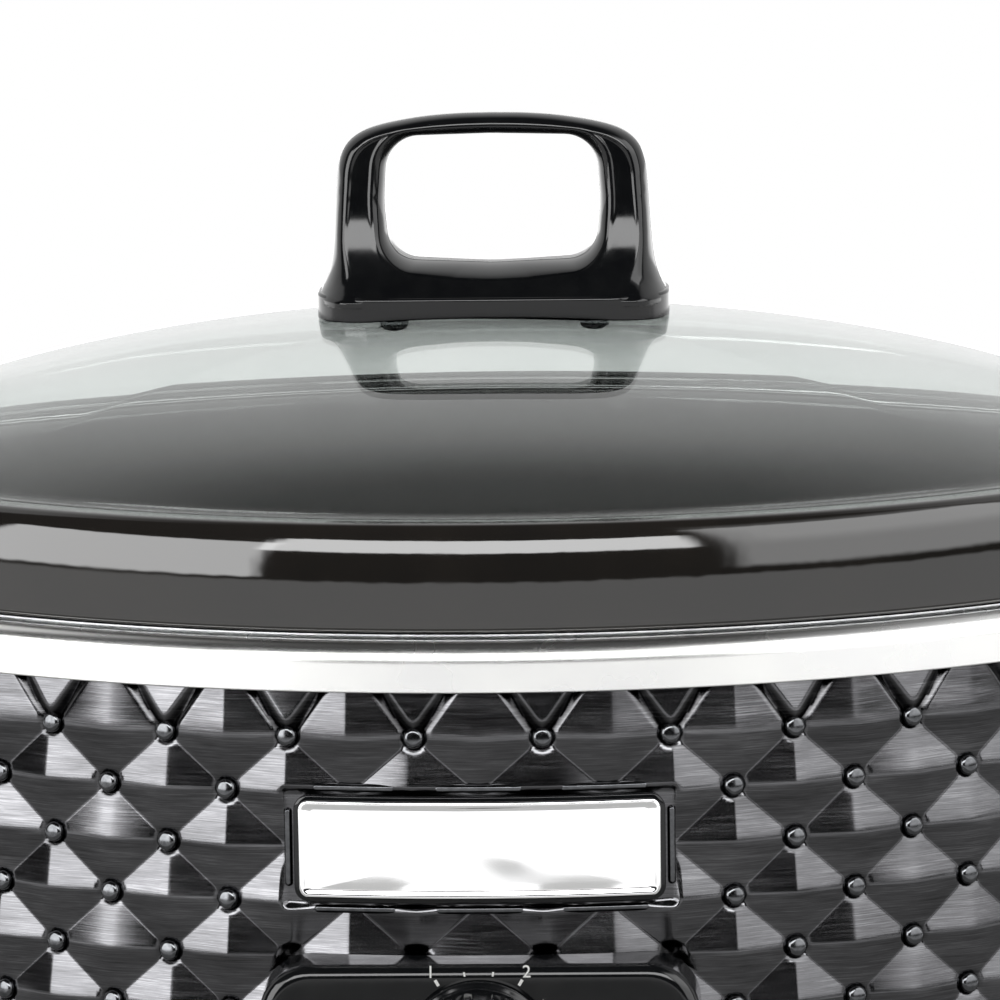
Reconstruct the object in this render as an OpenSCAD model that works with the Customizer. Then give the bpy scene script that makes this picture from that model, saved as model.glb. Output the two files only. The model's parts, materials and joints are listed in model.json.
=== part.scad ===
// Oval electric slow cooker: lift-off glass lid, lift-out stoneware crock, heated housing.
// Origin: middle of the whole cooker's footprint, on the surface that the feet stand on.
// X is the long axis, -Y is the front with the nameplate and the knob, +Z is up. Millimetres.

/* [Oval body] */
// Length of the outer shell along X, at the bottom of its embossing
body_length = 368; // [350:1:390]
// Depth of the outer shell along Y, at the bottom of its embossing
body_depth = 286; // [276:1:296]

/* [Heights] */
// Height of the rubber feet below the base pan
foot_height = 6; // [5:0.5:9]
// Height of the black base pan
base_height = 24; // [22:0.5:28]
// Height of embossed shell that shows between the base pan and the trim ring
shell_height = 106; // [100:0.5:114]
// Height of the polished trim ring
trim_height = 12.2; // [11:0.1:15]
// Height of the glazed band that shows above the trim ring
crock_band_height = 25.6; // [22:0.2:32]

/* [Embossed shell] */
// Number of pyramids round the shell in each row
pyramid_columns = 34; // [32:2:36]
// Height of one pyramid, from stud to stud
pyramid_height = 26.6; // [24:0.2:29]
// How far the tip of a pyramid stands out
emboss_depth = 2.6; // [1.5:0.1:3.2]
// Distance from the first row of studs up to the trim ring
first_row_drop = 11.3; // [8:0.1:12.5]
// Thickness of the steel sheet
shell_thickness = 0.8; // [0.5:0.1:1.2]

/* [Trim ring] */
// How far the trim ring stands out past the tips of the pyramids
trim_overhang = 1.2; // [0.8:0.1:2.5]
// Radius of the shoulder at the top of the ring
trim_shoulder = 4.6; // [3:0.1:6]
// Thickness of the ring's sheet
trim_thickness = 0.8; // [0.5:0.1:1]

/* [Heating well] */
// Gap between the heating well and the outer shell
shell_gap = 16; // [14:0.5:18]
// Thickness of the well's sheet
well_thickness = 0.8; // [0.6:0.1:1.5]
// Height of the well's floor above the base pan's underside
well_floor_height = 27; // [25:0.5:32]
// Radius between the well's wall and floor
well_corner = 9; // [5:0.5:12]
// Thickness of the flange that carries the crock
well_flange_thickness = 1; // [0.6:0.1:1.6]

/* [Stoneware crock] */
// Gap between the crock and the heating well at the top
crock_gap = 2.7; // [1.5:0.1:5]
// Gap between the crock's foot and the well's floor
crock_floor_gap = 2.2; // [1:0.1:4]
// How much further in the crock's wall is at its foot
crock_taper = 9; // [4:0.5:14]
// Thickness of the crock's wall
crock_wall = 7; // [5.5:0.1:9]
// Thickness of the crock's floor
crock_floor = 7; // [5:0.1:10]
// How far the band is set back from the trim ring
band_setback = 4.6; // [4:0.1:7]
// Thickness of the band's skirt
skirt_wall = 8; // [6:0.2:9]
// Width of the rim from the band in to the lid
crest_width = 12.6; // [10:0.2:14]
// Width of the ledge that the lid rests on
ledge_width = 12.3; // [9:0.2:14]
// Depth of that ledge below the rim
ledge_drop = 4.5; // [3:0.1:7]

/* [Glass lid] */
// Gap round the lid inside the crock's rim
lid_gap = 1.2; // [0.6:0.1:2.5]
// Thickness of the tempered glass
glass_thickness = 3.2; // [3:0.1:5]
// Height of the dome above the crock's rim
dome_height = 32.9; // [30:0.1:40]
// How much of that height the dome's even curve falls, before its edge turns down
dome_fall = 26; // [22:0.5:28]

/* [Lid handle] */
// Length of the handle's foot
lid_handle_length = 88; // [80:0.5:100]
// Depth of the handle's foot
lid_handle_depth = 38; // [32:0.5:42]
// Height of the handle above the glass
lid_handle_height = 49.2; // [45:0.1:58]
// Height of the handle's foot
lid_foot_height = 5.2; // [4.6:0.1:7]
// Length of the finger opening
grip_opening_length = 54; // [48:0.5:58]
// Height of the finger opening
grip_opening_height = 32.1; // [28:0.1:36]
// Thickness of the bar above the finger opening
grip_bar = 5.2; // [4.6:0.1:8]
// Depth of the grip, front to back
grip_depth = 14; // [12:0.5:20]
// Distance between the two lid screws
lid_screw_spacing = 50; // [42:0.2:54]
// Radius of the lid screws' shanks
lid_screw_radius = 2; // [1.5:0.1:2.4]
// Thickness of the silicone gaskets and washers
gasket_thickness = 1.1; // [0.8:0.1:1.6]
// Radius of the gaskets and washers
gasket_radius = 5.8; // [5:0.1:7]

/* [Side handles] */
// How far a side handle stands out from the shell
side_handle_reach = 42; // [36:0.5:48]
// Half width of a side handle, along Y
side_handle_half = 56; // [50:0.5:60]
// Thickness of the side handle's bow
bow_height = 14; // [11:0.5:17]
// Width of the side handle's bow, seen from above
bow_width = 13; // [11:0.5:16]
// Height of the pad that is screwed to the shell
pad_height = 34; // [30:0.5:38]
// Thickness of that pad
pad_thickness = 5; // [4:0.2:7]
// Distance from the top of the pad up to the trim ring
pad_drop = 2; // [1:0.5:5]
// Upward tilt of the bow, in degrees
bow_tilt = 8; // [0:1:12]
// Distance between the two screws of a side handle, along Y
side_screw_spacing = 82; // [78:1:88]

/* [Nameplate] */
// Width of the nameplate
nameplate_width = 87.6; // [78:0.2:90]
// Height of the nameplate
nameplate_height = 25.8; // [22:0.2:27]
// Thickness of the nameplate
nameplate_thickness = 2.2; // [1.6:0.1:3]

/* [Controls] */
// Width of the control housing
control_width = 104; // [98:1:112]
// Height of the control housing
control_height = 42; // [40:0.5:46]
// How far the control housing stands out from the shell
control_reach = 15; // [14:0.5:19]
// Wall of the control housing
control_wall = 2.5; // [2:0.1:3]
// Radius of the knob
knob_radius = 18; // [16:0.5:19]
// Height of the knob
knob_height = 16; // [14:0.5:20]
// Radius of the switch shaft
shaft_radius = 3; // [2.5:0.1:3.2]

/* [Base and feet] */
// Radius of a rubber foot
foot_radius = 9; // [7:0.5:12]
// Distance between the feet along X
foot_spacing_x = 210; // [180:2:230]
// Distance between the feet along Y
foot_spacing_y = 150; // [130:2:160]
// Thickness of the base pan
base_thickness = 2.5; // [2:0.1:3.5]
// Radius of the cord's hole through the rear gland
gland_bore_radius = 3.7; // [3:0.1:4.2]

/* [Heater] */
// Height of the heating belt
heater_height = 46; // [30:1:60]
// Thickness of the heating belt
heater_thickness = 3; // [2:0.1:3.6]
// Width of the strap that clamps the belt
strap_width = 12; // [8:0.5:16]

/* [Hidden] */
$fn = 96;

// Clearances
seat_gap = 0.3;      // between curved pieces that rest against each other
slip_gap = 0.05;     // radial, round a shaft, a stud or a pressed stem
screw_gap = 0.3;     // radial, round a screw's shank
overcut = 1;         // how far a cut runs past the faces that it opens
drill_reach = 20;    // how far a drilling runs to both sides of a curved wall

// The oval is drawn with four arcs. Their centres and joints lie on 3-4-5 triangles, so every
// outline at a distance d from the shell's valley line is made of four arcs about those centres.
oval_unit = snapped((body_length - body_depth) / 4);
end_r = snapped(body_depth / 2) - oval_unit;
side_r = end_r + 5 * oval_unit;
end_x = 3 * oval_unit;
side_y = 4 * oval_unit;
join_angle = atan2(3, 4);
half_side_arc = side_r * join_angle * PI / 180;
quarter_arc = half_side_arc + end_r * (90 - join_angle) * PI / 180;
perimeter = 4 * quarter_arc;
to_axis = -2 * side_r;                // a distance that always reaches the middle of the oval

// Heights
base_z = foot_height;
base_top_z = base_z + base_height;
trim_z = base_top_z + shell_height;
trim_top_z = trim_z + trim_height;
seat_z = trim_top_z + well_flange_thickness;
crest_z = seat_z + crock_band_height;
ledge_z = crest_z - ledge_drop;
shell_tuck = 5;                       // how far the shell reaches up inside the trim ring
shell_rebate = 3;                     // how far it reaches down inside the base pan
shell_bottom_z = base_top_z - shell_rebate;
shell_top_z = trim_z + shell_tuck;
pan_floor_z = base_z + base_thickness;
well_floor_z = base_z + well_floor_height;
crock_foot_z = well_floor_z + well_thickness + crock_floor_gap;
crock_floor_z = crock_foot_z + crock_floor;

// Distances d from the valley line
tip_d = emboss_depth;
trim_d = tip_d + trim_overhang;
base_d = tip_d + 2;
well_d = -shell_gap;
well_inner_d = well_d - well_thickness;
band_d = trim_d - band_setback;
recess_d = band_d - crest_width;
mouth_d = recess_d - ledge_width;
crock_top_d = well_inner_d - crock_gap;
crock_foot_d = crock_top_d - crock_taper;
lid_d = recess_d - lid_gap;
front_y = -body_depth / 2;

// Lid
dome_z = crest_z + dome_height;
rim_width = 3;                        // flat rim round the dome
rim_sink = 0.3;                       // from the crock's crest down to that rim
cap_d = lid_d - rim_width;
edge_fall = dome_height + rim_sink - dome_fall;
lid_a = end_x + end_r + cap_d;
dome_run = lid_a - (body_length - body_depth) / 4;
dome_curve = lid_a * lid_a / (2 * dome_fall);   // radius of the dome along X
function dome_fall_at(x) = x * x / (2 * dome_curve);

// Shell pattern. Columns are half a pyramid apart and column 0 is at the front centre.
columns = 2 * pyramid_columns;
half_pitch = perimeter / columns;
row_step = pyramid_height / 2;
pattern_top_z = trim_z - first_row_drop + row_step;
pattern_rows = floor((pattern_top_z - shell_bottom_z - 2) / row_step);
row_z = concat([shell_top_z],
               [for (j = [0:pattern_rows]) pattern_top_z - j * row_step],
               [shell_bottom_z]);
panel_columns = 3;                    // half width of the flat panel behind the nameplate
panel_first_row = 2;
panel_last_row = 4;
panel_d = 0.6;
nameplate_z = row_z[1 + (panel_first_row + panel_last_row) / 2];
nameplate_d = panel_d + seat_gap;
nameplate_rim = 1.6;
nameplate_rim_depth = 0.6;
nameplate_corner = 3;
nameplate_post_inset = 14;            // from the end of the plate in to its post
nameplate_post_x = nameplate_width / 2 - nameplate_post_inset;
post_radius = 1.5;
post_end = 3;                         // how far a post reaches past its clip
plate_clip_radius = 4.5;
plate_clip_thickness = 0.8;
plate_clip_y = oval_point(nameplate_post_x + plate_clip_radius, panel_d)[1] + shell_thickness + seat_gap;

// Side handle pads: the pattern is pressed smooth behind them
pad_top_z = trim_z - pad_drop;
pad_bottom_z = pad_top_z - pad_height;
pad_d = tip_d + seat_gap;
side_screw_z = (pad_top_z + pad_bottom_z) / 2;
side_screw_radius = 2;
side_screw_s = quarter_arc - end_r * asin(side_screw_spacing / 2 / end_r) * PI / 180;

// Controls
control_bottom_z = base_top_z + 1;
knob_z = control_bottom_z + control_height / 2;
control_front_y = front_y - control_reach;
control_corner = 12;
switch_width = 26;
switch_height = 24;
switch_depth_inside = 10;             // how far the switch reaches in past the front of the shell
switch_room = 2;                      // between the switch and its window in the shell
switch_back_y = front_y + switch_depth_inside;
switch_front_y = control_front_y + control_wall;
bushing_radius = 5;
bushing_length = 1.5;                 // of the bushing past its nut
switch_nut_radius = 8;
nut_thickness = 2;
bushing_end_y = control_front_y - nut_thickness - bushing_length;
shaft_end_y = switch_back_y - 4.5;
knob_lift = 0.6;                      // between the knob and the housing
knob_back_y = control_front_y - knob_lift;
knob_front_y = knob_back_y - knob_height;
knob_wall = 3;
knob_face_y = knob_front_y + knob_wall;
pointer_size = [12, 1.35, 1.6];
pointer_inset = 4;                    // from the edge of the knob in to the pointer
pointer_x = pointer_inset - knob_radius;
control_screw_inset = 16;
control_screw_x = control_width / 2 - control_screw_inset;
control_boss_radius = 4.5;
blade_size = [5, 0.8, 6];
blade_x = 7;
blade_inset = 6;                      // from the front of the shell in to the switch's blades
blade_y = front_y + blade_inset;

// Base
gland_z = base_z + 12;
gland_radius = 7;
gland_flange_radius = 10;
gland_flange = 4;
gland_boss = 7;
gland_nut_radius = 8.6;
rear_y = -front_y + base_d + gland_flange + gland_boss;
stud_r = 2.5;
stud_flange_thickness = 1.2;
stud_flange_radius = 9;
stud_end_z = 0.8;                     // the stud stops short of the surface below
spacer_radius = 4.5;
shield_height = 15.4;                 // of the heat shield above the underside of the pan
shield_z = base_z + shield_height;
shield_thickness = 0.6;
shield_inset = 9;                     // from the well's wall in to the edge of the shield
shield_d = well_d - shield_inset;
shield_hole_radius = 4;
shield_hole_gap = 9;                  // from the end of the fuse to the hole for its lead
fuse_place = [46, 20];
fuse_radius = 2.2;
fuse_length = 14;
fuse_z = well_floor_z - fuse_radius - seat_gap;
fuse_clip_thickness = 0.6;
fuse_clip_width = 7;
fuse_clip_foot = 18;
washer_radius = 8;
washer_thickness = 1;
base_nut_radius = 5.2;
base_nut_height = 3.4;
pan_corner = 11;                      // radius round the foot of the pan
pan_shelf_inset = 2;                  // how far the pan's shelf reaches in past the shell
pan_shelf_thickness = 1.5;
pan_shelf_slope = 2.5;
vent_size = [4, 28];
vent_count = 4;                       // in each quarter of the pan
vent_first = [40, 45];
vent_pitch = 12;
terminal_inset = 45;                  // from the back of the shell in to the terminal block
terminal_y = -front_y - terminal_inset;
terminal_size = [30, 16, 9];
terminal_pitch = 18;
terminal_screw_radius = 2;
terminal_wire_radius = 1.5;
foot_stem_radius = 3;
foot_barb = 1.2;                      // how far a foot's barb stands out from its stem
foot_barb_height = 2.2;

// Heater
heater_z = well_floor_z + well_corner + 1;
heater_d = well_d + seat_gap + heater_thickness;
heater_gap = 20;                      // between the ends of the belt, at the rear
strap_z = heater_z + (heater_height - strap_width) / 2;
strap_thickness = 0.8;
strap_d = heater_d + seat_gap + strap_thickness;
lug_gap = 5;
lug_depth = 7;
lug_thickness = 1.2;
lug_screw_inset = 3.4;                // from the end of a lug in to its screw
strap_screw_radius = 1.5;

// Wiring
wire_radius = 1.1;
wire_z = base_z + 7;
riser_y = blade_y + blade_size[1] / 2 + wire_radius / 10;  // leads climb between the shell and the well

// The cooker's own middle, once the knob in front and the gland behind are counted
centre_y = (knob_front_y + rear_y) / 2;

// ---------- shared shapes ----------

module centred() {
    translate([0, -centre_y, 0]) children();
}

function snapped(v) = round(v * 100) / 100;

function arc(centre, radius, a0, a1, steps) =
    [for (i = [0:steps]) let (a = a0 + (a1 - a0) * i / steps) centre + radius * [cos(a), sin(a)]];

module turned(profile, radius) {
    rotate_extrude() polygon([for (p = profile) [max(0, snapped(radius + p[0])), snapped(p[1])]]);
}

// The four sectors of the oval. Both kinds use the same corner points, so that their cuts meet exactly.
wedge_reach = ceil(side_r);           // a whole number, well past the oval
wedge_x = end_x + 3 * wedge_reach;
wedge_y = 4 * wedge_reach;
function end_wedge(side) = [[side * end_x, 0], [side * wedge_x, wedge_y],
                            [side * (wedge_x + 2 * wedge_reach), 0], [side * wedge_x, -wedge_y]];
function side_wedge(side) = [[-end_x, 0], [end_x, 0], [wedge_x, side * wedge_y], [-wedge_x, side * wedge_y]];

// Carries a profile of [distance from the valley line, height] points round the oval
module oval_turn(profile) {
    low = min([for (p = profile) p[1]]) - overcut;
    height = max([for (p = profile) p[1]]) + overcut - low;
    for (side = [-1, 1]) {
        intersection() {
            translate([side * end_x, 0, 0]) turned(profile, end_r);
            translate([0, 0, low]) linear_extrude(height) polygon(end_wedge(side));
        }
        intersection() {
            translate([0, -side * side_y, 0]) turned(profile, side_r);
            translate([0, 0, low]) linear_extrude(height) polygon(side_wedge(side));
        }
    }
}

// Solid oval slab out to distance d
module oval_slab(d, z, height) {
    oval_turn([[to_axis, z], [d, z], [d, z + height], [to_axis, z + height]]);
}

// Upright oval wall between two distances
module oval_wall(d_in, d_out, z, height) {
    oval_turn([[d_in, z], [d_out, z], [d_out, z + height], [d_in, z + height]]);
}

// Angle of the oval's outward normal, from -Y towards +X, at arc length s in the first quarter
function quarter_angle(s) = s < half_side_arc
    ? s / side_r * 180 / PI
    : join_angle + (s - half_side_arc) / end_r * 180 / PI;
function quarter_point(s, d) = let (t = quarter_angle(s)) s < half_side_arc
    ? [(side_r + d) * sin(t), side_y - (side_r + d) * cos(t)]
    : [end_x + (end_r + d) * sin(t), -(end_r + d) * cos(t)];

// Point of the oval at arc length s from the front centre, towards +X, and distance d
function oval_point(s, d) = let (
        w = (s % perimeter + perimeter) % perimeter,
        h = w > perimeter / 2 ? perimeter - w : w,
        p = quarter_point(h > quarter_arc ? 2 * quarter_arc - h : h, d))
    [w > perimeter / 2 ? -p[0] : p[0], h > quarter_arc ? -p[1] : p[1]];

module mirrored_x() {
    children();
    mirror([1, 0, 0]) children();
}

// Rod along Y
module rod_y(radius, y0, y1) {
    translate([0, min(y0, y1), 0]) rotate([-90, 0, 0]) cylinder(r = radius, h = abs(y1 - y0));
}

// Outline of a rectangle with round corners, centred
function rounded_outline(width, height, radius) = [
    for (corner = [[1, 1, 0], [-1, 1, 90], [-1, -1, 180], [1, -1, 270]])
        for (p = arc([corner[0] * (width / 2 - radius), corner[1] * (height / 2 - radius)], radius,
                     corner[2], corner[2] + 90, 6)) p];

// Plate with that outline, standing in the XZ plane from y0 back to y1
module upright_plate(width, height, radius, y0, y1) {
    translate([0, y1, 0]) rotate([90, 0, 0]) linear_extrude(y1 - y0)
        polygon(rounded_outline(width, height, radius));
}

// Path through the points with each corner replaced by a bend that starts r before it
function bent_path(points, r) = concat([points[0]],
    [for (i = [1:len(points) - 2]) let (
            to_last = (points[i - 1] - points[i]) / norm(points[i - 1] - points[i]),
            to_next = (points[i + 1] - points[i]) / norm(points[i + 1] - points[i]))
        for (t = [0:0.25:1]) points[i] + r * ((1 - t) * (1 - t) * to_last + t * t * to_next)],
    [points[len(points) - 1]]);

function tube_ring(centre, tangent, radius) = let (
        u = cross([0.61, 0.53, 0.59], tangent), v = cross(tangent, u))
    [for (a = [0:60:300]) centre + radius * (cos(a) * u / norm(u) + sin(a) * v / norm(v))];

// Insulated lead: a tube along a path of points
module lead(points) {
    path = bent_path(points, 3 * wire_radius);
    last = len(path) - 1;
    ring_mesh([for (i = [0:last])
        tube_ring(path[i], path[min(i + 1, last)] - path[max(i - 1, 0)], wire_radius)]);
}

// Closed mesh through rings of points, all with as many points, from the first ring to the last
module ring_mesh(rings) {
    sides = len(rings[0]);
    last = len(rings) - 1;
    sheet = [for (i = [0:last - 1]) for (k = [0:sides - 1]) let (
            a = i * sides + k, b = i * sides + (k + 1) % sides)
        each [[a, a + sides, b + sides], [a, b + sides, b]]];
    ends = [[for (k = [0:sides - 1]) k], [for (k = [sides - 1:-1:0]) last * sides + k]];
    polyhedron([for (r = rings) each r], concat(sheet, ends), convexity = 6);
}

// ---------- lid ----------

lid_sides = 72;
cap_steps = [0.16, 0.36, 0.55, 0.7, 0.81, 0.89, 0.95, 1];
edge_power = 10;                      // how late the dome's edge turns down

function lid_ring(d, z, share) = [for (i = [0:lid_sides - 1])
    let (p = oval_point(i * perimeter / lid_sides, d)) [share * p[0], share * p[1], z]];

function dome_drop(f) = dome_fall * pow(f, 2) + edge_fall * pow(f, edge_power);
function dome_slope(f) =
    atan((2 * dome_fall * f + edge_power * edge_fall * pow(f, edge_power - 1)) / dome_run);

// Rings of the dome from its middle to its edge, for a surface that lies t inside the outer one
function dome_rings(t) = [for (f = cap_steps)
    lid_ring(cap_d - t * sin(dome_slope(f)) / f, dome_z - dome_drop(f) - t * cos(dome_slope(f)), f)];

module lid_glass() {
    outer = dome_rings(0);
    inner = dome_rings(glass_thickness);
    rim_z = dome_z - dome_drop(1);
    edge = rim_width / 2;             // bevel on the rim
    rim = [lid_ring(lid_d - edge, rim_z, 1), lid_ring(lid_d, rim_z - edge, 1), lid_ring(lid_d, ledge_z, 1),
           lid_ring(cap_d - glass_thickness * sin(dome_slope(1)), ledge_z, 1)];
    color([0.75, 0.8, 0.78, 0.4]) centred() difference() {
        ring_mesh(concat(outer, rim, [for (i = [len(inner) - 1:-1:0]) inner[i]]));
        mirrored_x() translate([lid_screw_spacing / 2, 0, dome_z - dome_fall])
            cylinder(r = lid_screw_radius + screw_gap, h = dome_fall + overcut, $fn = 32);
    }
}

handle_z = dome_z + seat_gap;
gasket_x = lid_screw_spacing / 2;
facet_gap = 0.15;                     // below the glass's facets
gasket_bottom_z = snapped(dome_z - dome_fall_at(gasket_x - gasket_radius) + slip_gap / 2);
gasket_top_z = gasket_bottom_z + gasket_thickness;
washer_top_z = snapped(dome_z - glass_thickness - dome_fall_at(gasket_x + gasket_radius) - facet_gap);
screw_depth = 10;                     // how far a lid screw reaches into the handle
screw_room = 1;                       // depth of a blind hole past the end of its screw

handle_foot_edge = 1.4;               // round edge at the top of the foot
handle_foot_corner = 16;              // corner of the foot, seen from above
handle_leg_inset = 3.6;               // from the end of the foot in to the leg
handle_leg_lean = 2.8;                // how much further in the leg is at the shoulder
handle_waist = 3;                     // radius where the leg leaves the foot
handle_shoulder = 11;                 // radius of the shoulders
handle_crown = 2.4;                   // how much the top bar rises from shoulder to middle
handle_flare = 44;                    // radius of the curve by which the legs grow deeper downwards
handle_flare_z = 35.5;                // height where that curve begins
opening_low_corner = 10;
opening_top_corner = 8;
opening_top_inset = 1;                // how much narrower the opening is at its top, each side

// Outline of the handle seen from the front, right half, from the foot up to the top
function handle_side() = let (foot = lid_handle_length / 2, top = lid_handle_height,
                              edge = handle_foot_edge, leg = foot - handle_leg_inset,
                              r = handle_shoulder) concat(
    [[foot, -dome_fall], [foot, lid_foot_height - edge]],
    arc([foot - edge, lid_foot_height - edge], edge, 0, 90, 3),
    arc([leg + handle_waist, lid_foot_height + handle_waist], handle_waist, 240, 180, 3),
    arc([leg - handle_leg_lean - r, top - r - handle_crown], r, 4, 78, 8),
    [[foot * 0.34, top - handle_crown / 4], [foot * 0.1, top]]);

// Outline of the handle seen from its end, right half, from the glass up to the top
function handle_end() = let (low = lid_foot_height - 0.4, deep = lid_handle_depth / 2) concat(
    [[deep - 0.4, -dome_fall], [deep - 0.4, low]],
    [for (i = [1:9]) let (z = low + (handle_flare_z - low) * i / 10)
        [min(deep - 0.4, grip_depth / 2 + handle_flare
             - sqrt(pow(handle_flare, 2) - pow(handle_flare_z - z, 2))), z]],
    [[grip_depth / 2, handle_flare_z], [grip_depth / 2, lid_handle_height]]);

function opening_side() = let (half = grip_opening_length / 2, top = lid_handle_height - grip_bar,
                               low = top - grip_opening_height, r0 = opening_low_corner,
                               r1 = opening_top_corner) concat(
    arc([half - r0, low + r0], r0, 270, 360, 6),
    arc([half - opening_top_inset - r1, top - r1], r1, 4, 90, 6));

function both_sides(half) = concat(half, [for (i = [len(half) - 1:-1:0]) [-half[i][0], half[i][1]]]);

module lid_handle() {
    color([0.06, 0.06, 0.06]) centred() difference() {
        union() {
            intersection() {
                translate([0, lid_handle_depth / 2, dome_z]) rotate([90, 0, 0])
                    linear_extrude(lid_handle_depth) polygon(both_sides(handle_side()));
                translate([-lid_handle_length / 2, 0, dome_z]) rotate([90, 0, 90])
                    linear_extrude(lid_handle_length) polygon(both_sides(handle_end()));
                translate([0, 0, dome_z - dome_fall]) linear_extrude(dome_fall + lid_handle_height)
                    polygon(rounded_outline(lid_handle_length, lid_handle_depth, handle_foot_corner));
            }
            translate([0, 0, dome_z - dome_fall]) linear_extrude(dome_fall + lid_foot_height)
                polygon(rounded_outline(lid_handle_length, lid_handle_depth, handle_foot_corner));
        }
        translate([0, lid_handle_depth, dome_z]) rotate([90, 0, 0]) linear_extrude(2 * lid_handle_depth)
            polygon(both_sides(opening_side()));
        translate([0, 0, handle_z - dome_curve]) sphere(r = dome_curve, $fn = 200);
        mirrored_x() translate([gasket_x, 0, dome_z - dome_fall]) {
            cylinder(r = gasket_radius + slip_gap, h = gasket_top_z - dome_z + dome_fall, $fn = 32);
            cylinder(r = lid_screw_radius + slip_gap, h = dome_fall + screw_depth + screw_room, $fn = 32);
        }
    }
}

module ring_disc(outer, inner, z, height) {
    translate([0, 0, z]) difference() {
        cylinder(r = outer, h = height, $fn = 48);
        translate([0, 0, -overcut]) cylinder(r = inner, h = height + 2 * overcut, $fn = 48);
    }
}

module lid_handle_gaskets() {
    color([0.12, 0.12, 0.12]) centred() mirrored_x() translate([gasket_x, 0, 0])
        ring_disc(gasket_radius, lid_screw_radius + slip_gap, gasket_bottom_z, gasket_thickness);
}

module lid_handle_washers() {
    color([0.12, 0.12, 0.12]) centred() mirrored_x() translate([gasket_x, 0, washer_top_z])
        ring_disc(gasket_radius, lid_screw_radius + slip_gap, -gasket_thickness, gasket_thickness);
}

// Dome-headed screw pointing up, its head's seat at z = 0
function head_radius(radius) = 1.85 * radius;
function head_height(radius) = 1.25 * radius;
module screw(radius, length) {
    edge = 0.35;    // share of the head's height that is its upright edge
    cylinder(r = radius, h = length, $fn = 32);
    rotate_extrude($fn = 48) polygon(concat([[0, 0], [head_radius(radius), 0]],
        [for (a = [0:15:90]) [head_radius(radius) * cos(a),
                              -head_height(radius) * (edge + (1 - edge) * sin(a))]]));
}

module lid_handle_screws() {
    seat = washer_top_z - gasket_thickness;
    color([0.75, 0.75, 0.76]) centred() mirrored_x() translate([gasket_x, 0, seat])
        screw(lid_screw_radius, dome_z + screw_depth - seat);
}

// ---------- crock ----------

crock_foot_r = 20;                    // radius between the crock's wall and its foot, outside
crock_inside_r = 26;                  // and inside
crock_flare = 4;                      // how far the wall flares where it meets the rim
skirt_edge = 3;                       // slope inside the skirt
glaze_edge = 1.6;                     // small round edges of the glazed rim
band_shoulder = 6;                    // how far the rounded top of the band leans in
band_slope = 16;                      // and how far down the band it reaches
mouth_edge = 2.5;                     // radius at the mouth

module stoneware_crock() {
    inner_foot_d = crock_foot_d - crock_wall;
    rim_underside_z = ledge_z - crock_wall;
    skirt_d = band_d - skirt_wall;
    color([0.05, 0.05, 0.06]) centred() oval_turn(concat(
        [[to_axis, crock_foot_z]],
        arc([crock_foot_d - crock_foot_r, crock_foot_z + crock_foot_r], crock_foot_r, 270, 360, 6),
        [[crock_top_d, rim_underside_z - crock_flare], [crock_top_d + crock_flare, rim_underside_z],
         [skirt_d - skirt_edge, rim_underside_z], [skirt_d, rim_underside_z - skirt_edge],
         [skirt_d, seat_z], [band_d - glaze_edge, seat_z], [band_d, seat_z + glaze_edge]],
        [for (p = arc([0, 0], 1, 0, 90, 8))
            [band_d + (p[0] - 1) * band_shoulder, crest_z + (p[1] - 1) * band_slope]],
        arc([recess_d + glaze_edge, crest_z - glaze_edge], glaze_edge, 90, 180, 3),
        [[recess_d, ledge_z], [mouth_d + mouth_edge, ledge_z]],
        arc([mouth_d + mouth_edge, ledge_z - mouth_edge], mouth_edge, 90, 180, 3),
        arc([inner_foot_d - crock_inside_r, crock_floor_z + crock_inside_r], crock_inside_r, 360, 270, 6),
        [[to_axis, crock_floor_z]]));
}

// ---------- housing ----------

module trim_ring() {
    t = trim_thickness;
    inner_d = well_d + seat_gap;
    color([0.82, 0.82, 0.83]) centred() oval_turn(concat(
        [[tip_d + seat_gap, trim_z], [trim_d, trim_z]],
        arc([trim_d - trim_shoulder, trim_top_z - trim_shoulder], trim_shoulder, 0, 90, 6),
        [[inner_d, trim_top_z], [inner_d, trim_top_z - t]],
        arc([trim_d - trim_shoulder, trim_top_z - trim_shoulder], trim_shoulder - t, 90, 0, 6),
        [[trim_d - t, trim_z + t], [tip_d + seat_gap, trim_z + t]]));
}

function wrapped(m) = (m % columns + columns) % columns;
function column_distance(m) = min(wrapped(m), columns - wrapped(m));
function on_panel(m, j) = column_distance(m) <= panel_columns
    && j >= panel_first_row && j <= panel_last_row;
function behind_pad(m, z) = let (p = oval_point(m * half_pitch, 0))
    abs(p[1]) < side_handle_half + half_pitch / 2 && abs(p[0]) > end_x
    && z > pad_bottom_z - row_step && z < pad_top_z + row_step;
function is_stud(m, j) = (wrapped(m) + j) % 2 == 0;
function emboss(m, j, z) = on_panel(m, j) ? panel_d
    : behind_pad(m, z) ? emboss_depth
    : is_stud(m, j) ? 0 : emboss_depth;

// Rings of the shell, inward being 0 for its face and the sheet's thickness for its back.
// The first and the last ring close the pattern off with a plain edge.
function shell_ring(r, inward) = [for (m = [0:columns - 1])
    let (d = r == 0 || r == len(row_z) - 1 ? emboss_depth / 2 : emboss(m, r - 1, row_z[r]),
         p = oval_point(m * half_pitch, d - inward)) [p[0], p[1], row_z[r]]];

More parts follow.
